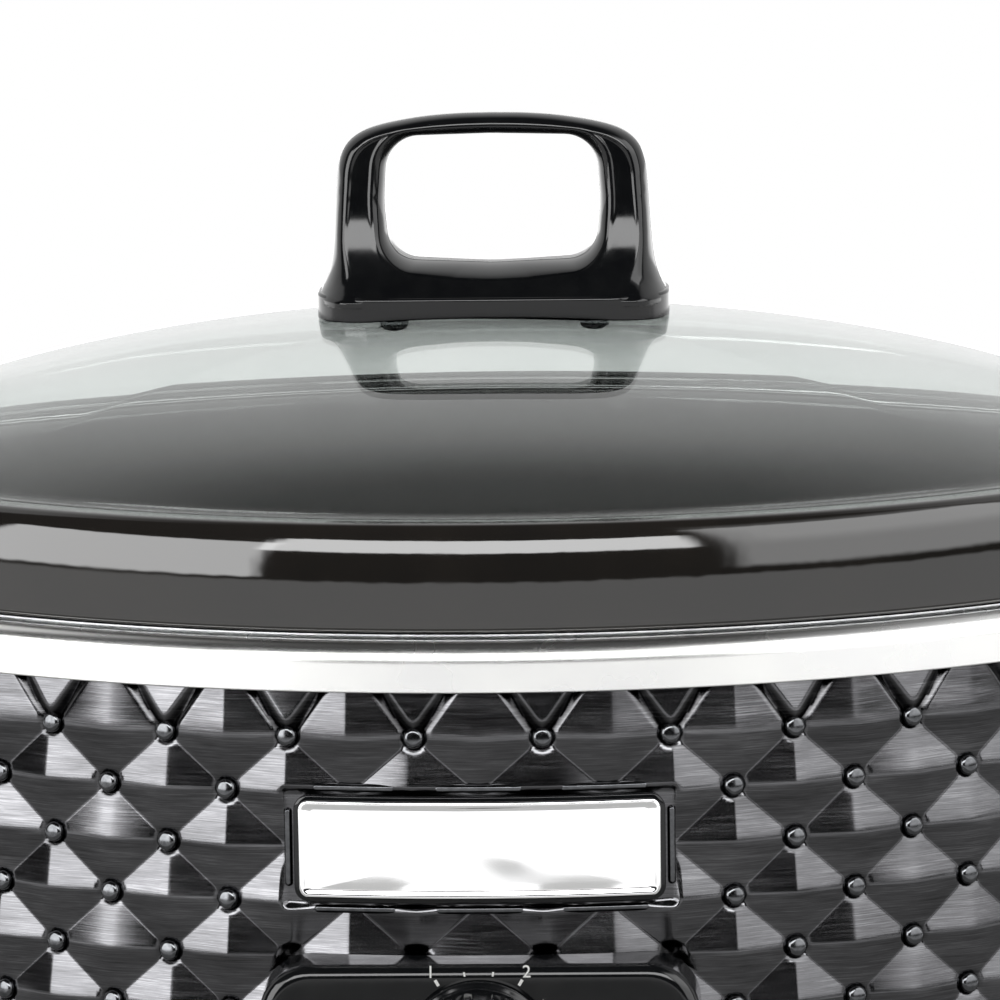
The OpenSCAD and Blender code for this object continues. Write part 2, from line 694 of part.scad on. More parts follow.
module shell_sheet() {
    rows = len(row_z);
    sheet = concat([for (r = [0:rows - 1]) shell_ring(r, 0)],
                   [for (r = [rows - 1:-1:0]) shell_ring(r, shell_thickness)]);
    // Each cell is split from stud to stud, so that the grooves run straight
    faces = [for (i = [0:2 * rows - 1]) for (m = [0:columns - 1]) let (
            a = i * columns + m, b = i * columns + (m + 1) % columns,
            c = ((i + 1) % (2 * rows)) * columns + m,
            e = ((i + 1) % (2 * rows)) * columns + (m + 1) % columns,
            r = i < rows ? i : 2 * rows - 1 - i,
            low_first = is_stud(m, r - 1))
        each low_first ? [[a, c, e], [a, e, b]] : [[a, c, b], [b, c, e]]];
    polyhedron([for (ring = sheet) each ring], faces, convexity = 8);
}

module at_side_screws() {
    for (x = [-1, 1]) for (y = [-1, 1]) {
        p = oval_point(side_screw_s, 0);
        t = quarter_angle(side_screw_s);
        translate([x * p[0], -y * p[1], side_screw_z]) rotate([0, 0, atan2(y * cos(t), x * sin(t))])
            rotate([0, 90, 0]) children();
    }
}

module at_control_screws() {
    mirrored_x() translate([control_screw_x, 0, knob_z]) children();
}

module outer_shell() {
    window = [switch_width + 2 * switch_room, switch_height + 2 * switch_room];
    color([0.32, 0.31, 0.32]) centred() difference() {
        shell_sheet();
        translate([-window[0] / 2, front_y - drill_reach, knob_z - window[1] / 2])
            cube([window[0], 2 * drill_reach, window[1]]);
        at_control_screws()
            rod_y(side_screw_radius + screw_gap, front_y - drill_reach, front_y + drill_reach);
        mirrored_x() translate([nameplate_post_x, 0, nameplate_z])
            rod_y(post_radius + slip_gap, front_y - drill_reach, front_y + drill_reach);
        at_side_screws() translate([0, 0, -drill_reach / 2])
            cylinder(r = side_screw_radius + screw_gap, h = drill_reach, $fn = 32);
    }
}

// Upright plate shaped to the shell's curve, from distance d0 out to d1
module curved_plate(width, height, radius, d0, d1) {
    intersection() {
        oval_wall(d0, d1, nameplate_z - height, 2 * height);
        translate([0, 0, nameplate_z])
            upright_plate(width, height, radius, front_y - drill_reach, front_y + drill_reach);
    }
}

module nameplate() {
    face_d = nameplate_d + nameplate_thickness;
    post_start = oval_point(nameplate_post_x, nameplate_d + nameplate_rim_depth);
    color([0.8, 0.8, 0.82]) centred() {
        difference() {
            curved_plate(nameplate_width, nameplate_height, nameplate_corner, nameplate_d, face_d);
            curved_plate(nameplate_width - 2 * nameplate_rim, nameplate_height - 2 * nameplate_rim,
                         nameplate_corner - nameplate_rim / 2,
                         face_d - nameplate_rim_depth, face_d + overcut);
        }
        mirrored_x() translate([nameplate_post_x, 0, nameplate_z])
            rod_y(post_radius, post_start[1], plate_clip_y + plate_clip_thickness + post_end);
    }
}

module nameplate_clips() {
    color([0.6, 0.6, 0.62]) centred() mirrored_x() translate([nameplate_post_x, plate_clip_y, nameplate_z])
        rotate([-90, 0, 0])
            ring_disc(plate_clip_radius, post_radius + slip_gap, 0, plate_clip_thickness);
}

module heating_well() {
    t = well_thickness;
    r = well_corner;
    color([0.62, 0.62, 0.64]) centred() oval_turn(concat(
        [[to_axis, well_floor_z]],
        arc([well_d - r, well_floor_z + r], r, 270, 360, 4),
        [[well_d, trim_top_z], [band_d, trim_top_z], [band_d, seat_z], [well_inner_d, seat_z]],
        arc([well_d - r, well_floor_z + r], r - t, 360, 270, 4),
        [[to_axis, well_floor_z + t]]));
}

module well_stud() {
    color([0.7, 0.7, 0.7]) centred() {
        translate([0, 0, well_floor_z - stud_flange_thickness])
            cylinder(r = stud_flange_radius, h = stud_flange_thickness);
        translate([0, 0, stud_end_z])
            cylinder(r = stud_r, h = well_floor_z - stud_end_z - stud_flange_thickness / 2);
    }
}

module heater_band() {
    color([0.75, 0.72, 0.66]) centred() difference() {
        oval_wall(well_d + seat_gap, heater_d, heater_z, heater_height);
        translate([-heater_gap / 2, 0, heater_z - overcut])
            cube([heater_gap, body_depth, heater_height + 2 * overcut]);
    }
}

lug_screw_y = -front_y + strap_d + lug_depth - lug_screw_inset;
lug_x = lug_gap / 2 + lug_thickness;

module heater_strap() {
    color([0.7, 0.7, 0.72]) centred() difference() {
        union() {
            oval_wall(strap_d - strap_thickness, strap_d, strap_z, strap_width);
            mirrored_x() translate([lug_gap / 2, -front_y + strap_d - strap_thickness, strap_z])
                cube([lug_thickness, lug_depth, strap_width]);
        }
        translate([-lug_gap / 2, 0, strap_z - overcut])
            cube([lug_gap, body_depth, strap_width + 2 * overcut]);
        translate([-lug_x - overcut, lug_screw_y, strap_z + strap_width / 2]) rotate([0, 90, 0])
            cylinder(r = strap_screw_radius + slip_gap, h = 2 * (lug_x + overcut), $fn = 32);
    }
}

module heater_strap_screw() {
    nut_height = 2;
    color([0.7, 0.7, 0.7]) centred() translate([0, lug_screw_y, strap_z + strap_width / 2]) {
        translate([lug_x + slip_gap, 0, 0]) rotate([0, -90, 0])
            screw(strap_screw_radius, 2 * lug_x + 2 * nut_height);
        translate([-lug_x - slip_gap, 0, 0]) rotate([0, -90, 0])
            ring_disc(head_radius(strap_screw_radius), strap_screw_radius + slip_gap, 0, nut_height);
    }
}

module heat_shield() {
    cut = shield_thickness + 2 * overcut;
    color([0.72, 0.72, 0.74]) centred() difference() {
        oval_slab(shield_d, shield_z, shield_thickness);
        translate([0, 0, shield_z - overcut]) {
            cylinder(r = stud_r + screw_gap, h = cut);
            for (side = [-1, 1])
                translate([fuse_place[0] + side * (fuse_length / 2 + shield_hole_gap), fuse_place[1], 0])
                    cylinder(r = shield_hole_radius, h = cut);
        }
    }
}

module shield_spacers() {
    color([0.7, 0.7, 0.7]) centred() {
        ring_disc(spacer_radius, stud_r + slip_gap, pan_floor_z, shield_z - pan_floor_z);
        ring_disc(spacer_radius, stud_r + slip_gap, shield_z + shield_thickness,
                  well_floor_z - stud_flange_thickness - shield_z - shield_thickness);
    }
}

module thermal_fuse() {
    color([0.85, 0.85, 0.8]) centred() translate([fuse_place[0] - fuse_length / 2, fuse_place[1], fuse_z])
        rotate([0, 90, 0]) cylinder(r = fuse_radius, h = fuse_length);
}

module thermal_fuse_clip() {
    inner_r = fuse_radius + slip_gap;
    outer_r = inner_r + fuse_clip_thickness;
    cut = fuse_clip_width + 2 * overcut;
    color([0.7, 0.7, 0.7]) centred()
        translate([fuse_place[0] - fuse_clip_width / 2, fuse_place[1], 0]) difference() {
            union() {
                translate([0, 0, fuse_z]) rotate([0, 90, 0]) cylinder(r = outer_r, h = fuse_clip_width);
                translate([0, -outer_r, fuse_z])
                    cube([fuse_clip_width, 2 * outer_r, well_floor_z - fuse_z]);
                translate([0, -fuse_clip_foot / 2, well_floor_z - fuse_clip_thickness])
                    cube([fuse_clip_width, fuse_clip_foot, fuse_clip_thickness]);
            }
            translate([-overcut, 0, fuse_z]) rotate([0, 90, 0]) cylinder(r = inner_r, h = cut);
            translate([-overcut, -inner_r, fuse_z]) cube([cut, 2 * inner_r, fuse_clip_foot]);
            translate([-overcut, -fuse_clip_foot, well_floor_z]) cube([cut, 2 * fuse_clip_foot, outer_r]);
        }
}

module base_pan() {
    t = base_thickness;
    cut = t + 2 * overcut;
    r = pan_corner;
    shelf_z = base_top_z - shell_rebate;
    shelf_d = -pan_shelf_inset;
    color([0.05, 0.05, 0.05]) centred() difference() {
        oval_turn(concat(
            [[to_axis, base_z]],
            arc([base_d - r, base_z + r], r, 270, 360, 5),
            [[base_d, base_top_z], [tip_d + seat_gap, base_top_z], [tip_d + seat_gap, shelf_z],
             [shelf_d, shelf_z], [shelf_d, shelf_z - pan_shelf_thickness],
             [base_d - t, shelf_z - pan_shelf_thickness - pan_shelf_slope]],
            arc([base_d - r, base_z + r], r - t, 360, 270, 5),
            [[to_axis, pan_floor_z]]));
        translate([0, 0, gland_z]) {
            rod_y(gland_radius + slip_gap, -front_y - drill_reach, -front_y + drill_reach);
            rod_y(gland_nut_radius + seat_gap, -front_y - drill_reach, -front_y + base_d - t);
        }
        translate([0, 0, base_z - overcut]) {
            cylinder(r = stud_r + screw_gap, h = cut);
            for (x = [-1, 1]) for (y = [-1, 1]) {
                translate([x * foot_spacing_x / 2, y * foot_spacing_y / 2, 0])
                    cylinder(r = foot_stem_radius + slip_gap, h = cut, $fn = 48);
                for (i = [0:vent_count - 1])
                    translate([x * (vent_first[0] + vent_pitch * i) - vent_size[0] / 2,
                               y * vent_first[1] - vent_size[1] / 2, 0])
                        cube([vent_size[0], vent_size[1], cut]);
            }
            translate([0, terminal_y, 0])
                cylinder(r = strap_screw_radius + slip_gap, h = cut, $fn = 32);
        }
    }
}

module base_washer() {
    color([0.7, 0.7, 0.7]) centred()
        ring_disc(washer_radius, stud_r + slip_gap, base_z - washer_thickness, washer_thickness);
}

module base_nut() {
    color([0.7, 0.7, 0.7]) centred()
        translate([0, 0, base_z - washer_thickness - base_nut_height]) difference() {
            cylinder(r = base_nut_radius, h = base_nut_height, $fn = 6);
            translate([0, 0, -overcut]) cylinder(r = stud_r + slip_gap, h = base_nut_height + 2 * overcut);
        }
}

module foot(x, y) {
    edge = 1.2;
    color([0.09, 0.09, 0.09]) centred() translate([x * foot_spacing_x / 2, y * foot_spacing_y / 2, 0]) {
        rotate_extrude() polygon([[0, 0], [foot_radius - edge, 0], [foot_radius - edge / 3, edge / 2],
                                  [foot_radius, base_z], [0, base_z]]);
        cylinder(r = foot_stem_radius, h = pan_floor_z + foot_barb_height / 2);
        translate([0, 0, pan_floor_z])
            cylinder(r1 = foot_stem_radius + foot_barb, r2 = foot_stem_radius, h = foot_barb_height);
    }
}
module foot_front_left() foot(-1, -1);
module foot_front_right() foot(1, -1);
module foot_rear_left() foot(-1, 1);
module foot_rear_right() foot(1, 1);

gland_wall_y = -front_y + base_d;
gland_thread = 9;                     // how far the gland's thread reaches in past the pan's wall
gland_inside_y = gland_wall_y - base_thickness - gland_thread;

module cord_gland() {
    boss_step = 0.6;
    color([0.07, 0.07, 0.07]) centred() translate([0, 0, gland_z]) difference() {
        union() {
            rod_y(gland_radius, gland_inside_y, gland_wall_y + gland_flange / 2);
            rod_y(gland_flange_radius, gland_wall_y, gland_wall_y + gland_flange);
            rod_y(gland_radius - boss_step, gland_wall_y, rear_y);
        }
        rod_y(gland_bore_radius, gland_inside_y - overcut, rear_y + overcut);
    }
}

module gland_nut() {
    nut_height = 4;
    inner_wall_y = gland_wall_y - base_thickness;
    color([0.07, 0.07, 0.07]) centred() translate([0, 0, gland_z]) difference() {
        rod_y(gland_nut_radius, inner_wall_y - nut_height, inner_wall_y);
        rod_y(gland_radius + slip_gap, inner_wall_y - nut_height - overcut, inner_wall_y + overcut);
    }
}

module terminal_block() {
    s = terminal_size;
    color([0.85, 0.83, 0.76]) centred() translate([0, terminal_y, pan_floor_z]) difference() {
        translate([-s[0] / 2, -s[1] / 2, 0]) cube(s);
        translate([0, 0, -overcut])
            cylinder(r = strap_screw_radius + screw_gap, h = s[2] + 2 * overcut, $fn = 32);
        mirrored_x() translate([terminal_pitch / 2, 0, s[2] / 2]) {
            cylinder(r = terminal_screw_radius, h = s[2], $fn = 32);
            rod_y(terminal_wire_radius, -s[1], s[1]);
        }
    }
}

module terminal_block_screw() {
    color([0.7, 0.7, 0.7]) centred() translate([0, terminal_y, pan_floor_z + terminal_size[2]])
        rotate([180, 0, 0]) screw(strap_screw_radius, terminal_size[2] + 0.8 * base_thickness);
}

// ---------- controls ----------

module at_knob() {
    translate([0, 0, knob_z]) children();
}

module control_housing() {
    w = control_wall;
    color([0.05, 0.05, 0.05]) centred() difference() {
        union() {
            at_knob() difference() {
                upright_plate(control_width, control_height, control_corner,
                              control_front_y, front_y + drill_reach);
                upright_plate(control_width - 2 * w, control_height - 2 * w, control_corner - w,
                              switch_front_y, front_y + drill_reach + overcut);
            }
            at_control_screws() rod_y(control_boss_radius, control_front_y + w / 2, front_y + drill_reach);
        }
        oval_slab(tip_d + seat_gap, control_bottom_z - control_height, 3 * control_height);
        at_knob() rod_y(bushing_radius + slip_gap, control_front_y - overcut, front_y);
        at_control_screws()
            rod_y(side_screw_radius + slip_gap, control_screw_end_y - screw_room, front_y + drill_reach);
    }
}

// The screws come from inside the shell, through it into the bosses
control_head_y = oval_point(control_screw_x, 0)[1] + shell_thickness + screw_room;
control_screw_length = control_reach - 1.5;
control_screw_end_y = control_head_y - control_screw_length;

module control_housing_screws() {
    color([0.7, 0.7, 0.7]) centred() at_control_screws() translate([0, control_head_y, 0])
        rotate([90, 0, 0]) screw(side_screw_radius, control_screw_length);
}

module rotary_switch() {
    y0 = switch_front_y + slip_gap;
    color([0.15, 0.15, 0.16]) centred() at_knob() difference() {
        union() {
            translate([-switch_width / 2, y0, -switch_height / 2])
                cube([switch_width, switch_back_y - y0, switch_height]);
            rod_y(bushing_radius, bushing_end_y, y0 + overcut);
            for (x = [-1, 1]) translate([x * blade_x - blade_size[0] / 2, blade_y - blade_size[1] / 2,
                                         -switch_height / 2 - blade_size[2]])
                cube([blade_size[0], blade_size[1], blade_size[2] + overcut]);
        }
        rod_y(shaft_radius + slip_gap, bushing_end_y - overcut, shaft_end_y + slip_gap);
    }
}

module switch_nut() {
    color([0.75, 0.75, 0.75]) centred() at_knob() difference() {
        translate([0, control_front_y, 0]) rotate([90, 0, 0])
            cylinder(r = switch_nut_radius, h = nut_thickness, $fn = 6);
        rod_y(bushing_radius + slip_gap, bushing_end_y - overcut, control_front_y + overcut);
    }
}

module switch_shaft() {
    color([0.8, 0.78, 0.7]) centred() at_knob() rod_y(shaft_radius, knob_face_y + slip_gap, shaft_end_y);
}

module knob() {
    hub_wall = 2.6;
    flange = 2.4;
    inset = 1.6;    // from the flange in to the grip above it
    edge = 2;
    color([0.05, 0.05, 0.05]) centred() at_knob() difference() {
        translate([0, knob_back_y, 0]) rotate([90, 0, 0]) rotate_extrude() polygon(concat(
            [[0, 0], [knob_radius, 0], [knob_radius, flange], [knob_radius - inset, flange + inset / 2]],
            arc([knob_radius - inset - 1 - edge, knob_height - edge], edge, 0, 90, 4), [[0, knob_height]]));
        // room for the switch's bushing and nut behind the knob, with a hub left round the shaft
        difference() {
            rod_y(knob_radius - knob_wall - inset, knob_face_y, knob_back_y + overcut);
            rod_y(shaft_radius + hub_wall, knob_face_y - overcut, bushing_end_y - slip_gap - 1);
        }
        rod_y(shaft_radius + slip_gap, knob_face_y, knob_back_y + overcut);
        translate([pointer_x, knob_front_y - overcut, -pointer_size[2] / 2 - slip_gap])
            cube([pointer_size[0], pointer_size[1] + slip_gap + overcut, pointer_size[2] + 2 * slip_gap]);
    }
}

module knob_pointer() {
    color([0.9, 0.9, 0.88]) centred() at_knob()
        translate([pointer_x + slip_gap, knob_front_y, -pointer_size[2] / 2])
            cube([pointer_size[0] - 2 * slip_gap, pointer_size[1], pointer_size[2]]);
}

// ---------- side handles ----------

bow_inset = 6;                        // from the end of the pad in to the bow
bow_corner = 20;
bow_root = 10;                        // how far the bow's legs reach in past the shell
pad_corner = 8;
side_screw_length = 10;
side_head_d = tip_d - shell_thickness - seat_gap;

// Half outlines of the bow from above, in X and Y, out to x and with corners of radius r
function bow_outline(root, x, half, r) = concat(
    [[root, -half]], arc([x - r, -half + r], r, 270, 360, 6),
    arc([x - r, half - r], r, 0, 90, 6), [[root, half]]);

module side_handle() {
    half = side_handle_half;
    bow_x = body_length / 2 + side_handle_reach;
    root_x = body_length / 2 - bow_root;
    bow_half = half - bow_inset;
    tip_back = bow_x * (1 - cos(bow_tilt));
    centred() difference() {
        union() {
            intersection() {
                oval_wall(pad_d, pad_d + pad_thickness, pad_bottom_z, pad_height);
                translate([0, 0, side_screw_z]) rotate([90, 0, 90]) linear_extrude(body_length)
                    polygon(rounded_outline(2 * half, pad_height, pad_corner));
            }
            intersection() {
                translate([tip_back + root_x, 0, side_screw_z]) rotate([0, -bow_tilt, 0])
                    translate([-root_x, 0, -bow_height / 2]) linear_extrude(bow_height) difference() {
                        polygon(bow_outline(root_x, bow_x, bow_half, bow_corner));
                        polygon(bow_outline(root_x - overcut, bow_x - bow_width, bow_half - bow_width,
                                            bow_corner - bow_width + 4));
                    }
                translate([0, -half, pad_bottom_z - pad_height])
                    cube([body_length, 2 * half, 3 * pad_height]);
            }
        }
        oval_slab(pad_d, pad_bottom_z - pad_height, 3 * pad_height);
        at_side_screws() translate([0, 0, side_head_d])
            cylinder(r = side_screw_radius + slip_gap, h = side_screw_length + screw_room, $fn = 32);
    }
}

module side_handle_right() {
    color([0.05, 0.05, 0.05]) side_handle();
}

module side_handle_left() {
    color([0.05, 0.05, 0.05]) mirror([1, 0, 0]) side_handle();
}

module side_handle_screws() {
    color([0.7, 0.7, 0.7]) centred() at_side_screws() translate([0, 0, side_head_d])
        screw(side_screw_radius, side_screw_length);
}

// ---------- wiring ----------

blade_tip_z = knob_z - switch_height / 2 - blade_size[2];
lead_turn_y = front_y + 43;           // where the leads start to close in on the switch
lead_straight = 8;                    // least straight run before a bend

module supply_lead() {
    outlet_y = terminal_y - terminal_size[1] / 2;
    color([0.85, 0.85, 0.85]) centred() lead([
        [-terminal_pitch / 2, outlet_y, wire_z],
        [-terminal_pitch / 2, outlet_y - 1.5 * lead_straight, wire_z],
        [-blade_x, lead_turn_y, wire_z], [-blade_x, riser_y, wire_z + lead_straight],
        [-blade_x, riser_y, blade_tip_z]]);
}

module heater_leads() {
    fuse_y = fuse_place[1];
    fuse_end = fuse_length / 2;
    hole_in = fuse_place[0] + fuse_end + shield_hole_gap;
    hole_out = fuse_place[0] - fuse_end - shield_hole_gap;
    riser_x = 30;
    rear_riser_y = -oval_point(riser_x, 0)[1] - shell_thickness - 4;
    belt_end = [heater_gap / 2 + 3, -front_y + heater_d + wire_radius];
    tail_z = heater_z + lead_straight;
    color([0.8, 0.2, 0.15]) centred() {
        lead([[blade_x, riser_y, blade_tip_z], [blade_x, riser_y, wire_z + lead_straight],
              [blade_x + 6, lead_turn_y, wire_z], [hole_in, fuse_y - 12, wire_z], [hole_in, fuse_y, wire_z],
              [hole_in, fuse_y, fuse_z], [fuse_place[0] + fuse_end, fuse_y, fuse_z]]);
        lead([[fuse_place[0] - fuse_end, fuse_y, fuse_z], [hole_out, fuse_y, fuse_z],
              [hole_out, fuse_y, wire_z], [riser_x, terminal_y, wire_z],
              [riser_x, rear_riser_y, wire_z + lead_straight], [riser_x, rear_riser_y, tail_z],
              [belt_end[0], belt_end[1], tail_z]]);
        lead([[-belt_end[0], belt_end[1], tail_z], [-riser_x, rear_riser_y, tail_z],
              [-riser_x, rear_riser_y, wire_z + lead_straight], [-riser_x, terminal_y, wire_z],
              [-terminal_size[0] / 2, terminal_y, wire_z]]);
    }
}

lid_glass();
lid_handle();
lid_handle_gaskets();
lid_handle_washers();
lid_handle_screws();
stoneware_crock();
trim_ring();
outer_shell();
nameplate();
nameplate_clips();
heating_well();
well_stud();
heater_band();
heater_strap();
heater_strap_screw();
heat_shield();
shield_spacers();
thermal_fuse();
thermal_fuse_clip();
base_pan();
base_washer();
base_nut();
foot_front_left();
foot_front_right();
foot_rear_left();
foot_rear_right();
cord_gland();
gland_nut();
terminal_block();
terminal_block_screw();
control_housing();
control_housing_screws();
rotary_switch();
switch_nut();
switch_shaft();
knob();
knob_pointer();
side_handle_left();
side_handle_right();
side_handle_screws();
supply_lead();
heater_leads();
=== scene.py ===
import json
import math

import bmesh
import bpy
import numpy as np
from mathutils import Matrix, Vector


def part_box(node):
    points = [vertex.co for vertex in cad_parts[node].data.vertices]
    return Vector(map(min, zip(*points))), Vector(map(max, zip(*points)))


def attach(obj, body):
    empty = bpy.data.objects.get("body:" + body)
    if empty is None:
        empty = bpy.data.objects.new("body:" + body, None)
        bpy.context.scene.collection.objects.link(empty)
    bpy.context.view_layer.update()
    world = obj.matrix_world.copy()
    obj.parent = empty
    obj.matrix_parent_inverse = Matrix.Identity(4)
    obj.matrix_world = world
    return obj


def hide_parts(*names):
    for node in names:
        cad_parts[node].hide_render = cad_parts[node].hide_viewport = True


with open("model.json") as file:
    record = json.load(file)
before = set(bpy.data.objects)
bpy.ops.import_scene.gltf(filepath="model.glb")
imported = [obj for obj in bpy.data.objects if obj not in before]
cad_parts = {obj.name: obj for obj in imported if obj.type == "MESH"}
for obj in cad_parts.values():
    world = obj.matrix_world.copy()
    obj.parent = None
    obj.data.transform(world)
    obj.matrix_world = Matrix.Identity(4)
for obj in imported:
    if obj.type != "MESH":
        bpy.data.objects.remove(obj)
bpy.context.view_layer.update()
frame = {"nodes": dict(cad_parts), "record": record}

nodes = frame["nodes"]
scene = bpy.context.scene
mm = 0.001
print("frame loaded,", len(nodes), "CAD nodes")

camera = {
    "azimuth": 2.07,     # degrees round from straight in front, towards +X
    "elevation": 9.2,
    "roll": -0.78,
    "distance": 2.2,     # metres
    "lens": 315.9,
    "aimDrop": 16.3,     # mm below the crock's rim that the middle of the view looks at
    "aimRight": 0.84,    # and mm to the right of the cooker's middle
}

crockLow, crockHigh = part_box("stoneware_crock")
aim = Vector(((crockLow.x + crockHigh.x) / 2, (crockLow.y + crockHigh.y) / 2, crockHigh.z))


def makeCamera():
    azimuth, elevation = math.radians(camera["azimuth"]), math.radians(camera["elevation"])
    back = Vector((math.sin(azimuth) * math.cos(elevation),
                   -math.cos(azimuth) * math.cos(elevation), math.sin(elevation)))
    turn = back.to_track_quat("Z", "Y").to_matrix().to_4x4()
    right, up = turn @ Vector((1, 0, 0)), turn @ Vector((0, 1, 0))
    data = bpy.data.cameras.new("camera")
    data.lens = camera["lens"]
    data.sensor_width = 36
    data.clip_start, data.clip_end = 0.05, 60
    viewer = bpy.data.objects.new("camera", data)
    place = Matrix.Translation(aim + right * camera["aimRight"] * mm - up * camera["aimDrop"] * mm
                               + back * camera["distance"])
    viewer.matrix_world = place @ turn @ Matrix.Rotation(math.radians(camera["roll"]), 4, "Z")
    scene.collection.objects.link(viewer)
    scene.camera = viewer


makeCamera()
scene.view_settings.view_transform = "Standard"
print("camera made")


def linear(code):    # sRGB hex to the linear colour that the shaders take
    parts = [int(code[i:i + 2], 16) / 255 for i in (1, 3, 5)]
    return [c / 12.92 if c <= 0.04045 else ((c + 0.055) / 1.055) ** 2.4 for c in parts] + [1.0]


def addNode(tree, kind, settings=None, inputs=None):
    node = tree.nodes.new(kind)
    for name, value in (settings or {}).items():
        setattr(node, name, value)
    for name, value in (inputs or {}).items():
        if isinstance(value, bpy.types.NodeSocket):
            tree.links.new(value, node.inputs[name])
        else:
            node.inputs[name].default_value = value
    return node


def startMaterial(name):
    material = bpy.data.materials.new(name)
    material.use_nodes = True
    material.node_tree.nodes.clear()
    return material, material.node_tree


def endMaterial(material, tree, inputs):
    shader = addNode(tree, "ShaderNodeBsdfPrincipled", inputs=inputs)
    addNode(tree, "ShaderNodeOutputMaterial", inputs={"Surface": shader.outputs[0]})
    return material


def objectPlace(tree, scale):
    place = addNode(tree, "ShaderNodeTexCoord")
    return addNode(tree, "ShaderNodeMapping", inputs={
        "Vector": place.outputs["Object"], "Scale": scale}).outputs[0]


def noiseOf(tree, scale, detail, roughness=0.5):
    return addNode(tree, "ShaderNodeTexNoise", inputs={
        "Vector": objectPlace(tree, scale), "Scale": 1.0, "Detail": detail,
        "Roughness": roughness}).outputs["Fac"]


def colourOf(tree, value, stops):    # stops are (place, hex colour)
    node = addNode(tree, "ShaderNodeValToRGB", inputs={"Fac": value})
    elements = node.color_ramp.elements
    elements.remove(elements[-1])
    for i, (place, code) in enumerate(stops):
        stop = elements[0] if i == 0 else elements.new(place)
        stop.position = place
        stop.color = linear(code)
    return node.outputs[0]


def mapRange(tree, value, start, end, low=0.0, high=1.0, kind="LINEAR"):
    return addNode(tree, "ShaderNodeMapRange", {"interpolation_type": kind}, {
        "Value": value, "From Min": start, "From Max": end, "To Min": low, "To Max": high}).outputs[0]


def mixOf(tree, share, a, b):
    return addNode(tree, "ShaderNodeMix", {"data_type": "FLOAT"}, {
        "Factor": share, "A": a, "B": b}).outputs[0]


def calc(tree, operation, *values):
    return addNode(tree, "ShaderNodeMath", {"operation": operation}, dict(enumerate(values))).outputs[0]


def bumpOf(tree, height, distance, strength=1.0):
    return addNode(tree, "ShaderNodeBump", inputs={
        "Strength": strength, "Distance": distance, "Height": height}).outputs[0]


def brushedTintedSteel():
    # Stainless sheet, brushed along its length and then tinted dark: a charcoal mirror broken into fine
    # level streaks, which smear what each pressed face reflects. Real brush lines are under 0.1 mm apart,
    # too fine to show, so they are drawn 0.3 mm apart and 12 mm long. Painted shade darkens the colour
    # where the sheet is pressed in deepest, in the channels and the dimples round the studs.
    material, tree = startMaterial("brushed_tinted_steel")
    streaks = noiseOf(tree, (90, 90, 5200), 3.0, 0.6)
    clouds = noiseOf(tree, (35, 35, 160), 4.0, 0.65)
    tone = mixOf(tree, 0.45, streaks, clouds)
    grooveShade = addNode(tree, "ShaderNodeAttribute", {"attribute_name": "groove_shade"})
    # painted shade: the colour is darkened in the channels and the dimples round the studs
    shadedTone = calc(tree, "SUBTRACT", tone, grooveShade.outputs["Fac"])
    along = addNode(tree, "ShaderNodeTangent", {"direction_type": "RADIAL", "axis": "Z"})
    return endMaterial(material, tree, {
        "Base Color": colourOf(tree, shadedTone, [(0.02, "#0d0d0e"), (0.34, "#3e3e3f"), (0.52, "#565658"),
                                              (0.68, "#747476")]),
        "Metallic": 1.0, "Roughness": mapRange(tree, tone, 0.35, 0.65, 0.11, 0.2),
        "Normal": bumpOf(tree, streaks, 0.02 * mm, 0.5), "Anisotropic": 0.5,
        "Anisotropic Rotation": 0.25, "Tangent": along.outputs[0]})


def plainFinish(name, colour, roughness, metallic=0.0, ior=None, grain=0.0, grainSize=1.0, spread=0.04,
                wear=None, stretch=(1, 1, 1)):
    # A moulded, plated or turned surface: its colour and roughness vary a little with a grain of the given
    # size in mm, which also stands proud by grain mm.
    material, tree = startMaterial(name)
    noise = noiseOf(tree, [s / (grainSize * mm) for s in stretch], 3.0, 0.55)
    inputs = {
        "Base Color": colourOf(tree, noise, [(0.35, colour), (0.7, wear or colour)]), "Metallic": metallic,
        "Roughness": mapRange(tree, noise, 0.3, 0.7, max(0.01, roughness - spread), roughness + spread),
    }
    if grain:
        inputs["Normal"] = bumpOf(tree, noise, grain * mm)
    if ior:
        inputs["IOR"] = ior
    return endMaterial(material, tree, inputs)


def temperedGlass():
    # Pressed and toughened soda-lime glass: clear, with the pale green that iron gives it where the eye
    # looks through the most glass.
    material, tree = startMaterial("tempered_soda_lime_glass")
    noise = noiseOf(tree, (30, 30, 30), 1.0, 0.4)
    return endMaterial(material, tree, {
        "Base Color": colourOf(tree, noise, [(0.3, "#e8edeb"), (0.7, "#eef2f0")]), "Roughness": 0.0,
        "IOR": 1.5, "Transmission Weight": 1.0})


def wovenGlassFibre():
    # Woven glass-fibre belt: off-white bundles 2 mm apart, over and under, with a dull silky look.
    material, tree = startMaterial("woven_glass_fibre")
    weave = addNode(tree, "ShaderNodeTexBrick", inputs={
        "Vector": objectPlace(tree, (500, 500, 500)), "Color1": linear("#d9d2c0"),
        "Color2": linear("#cbc3ae"), "Mortar": linear("#8d8674"), "Scale": 1.0, "Mortar Size": 0.06,
        "Brick Width": 1.0, "Row Height": 0.5})
    return endMaterial(material, tree, {
        "Base Color": weave.outputs["Color"], "Roughness": 0.75,
        "Normal": bumpOf(tree, weave.outputs["Fac"], 0.3 * mm, 0.8)})


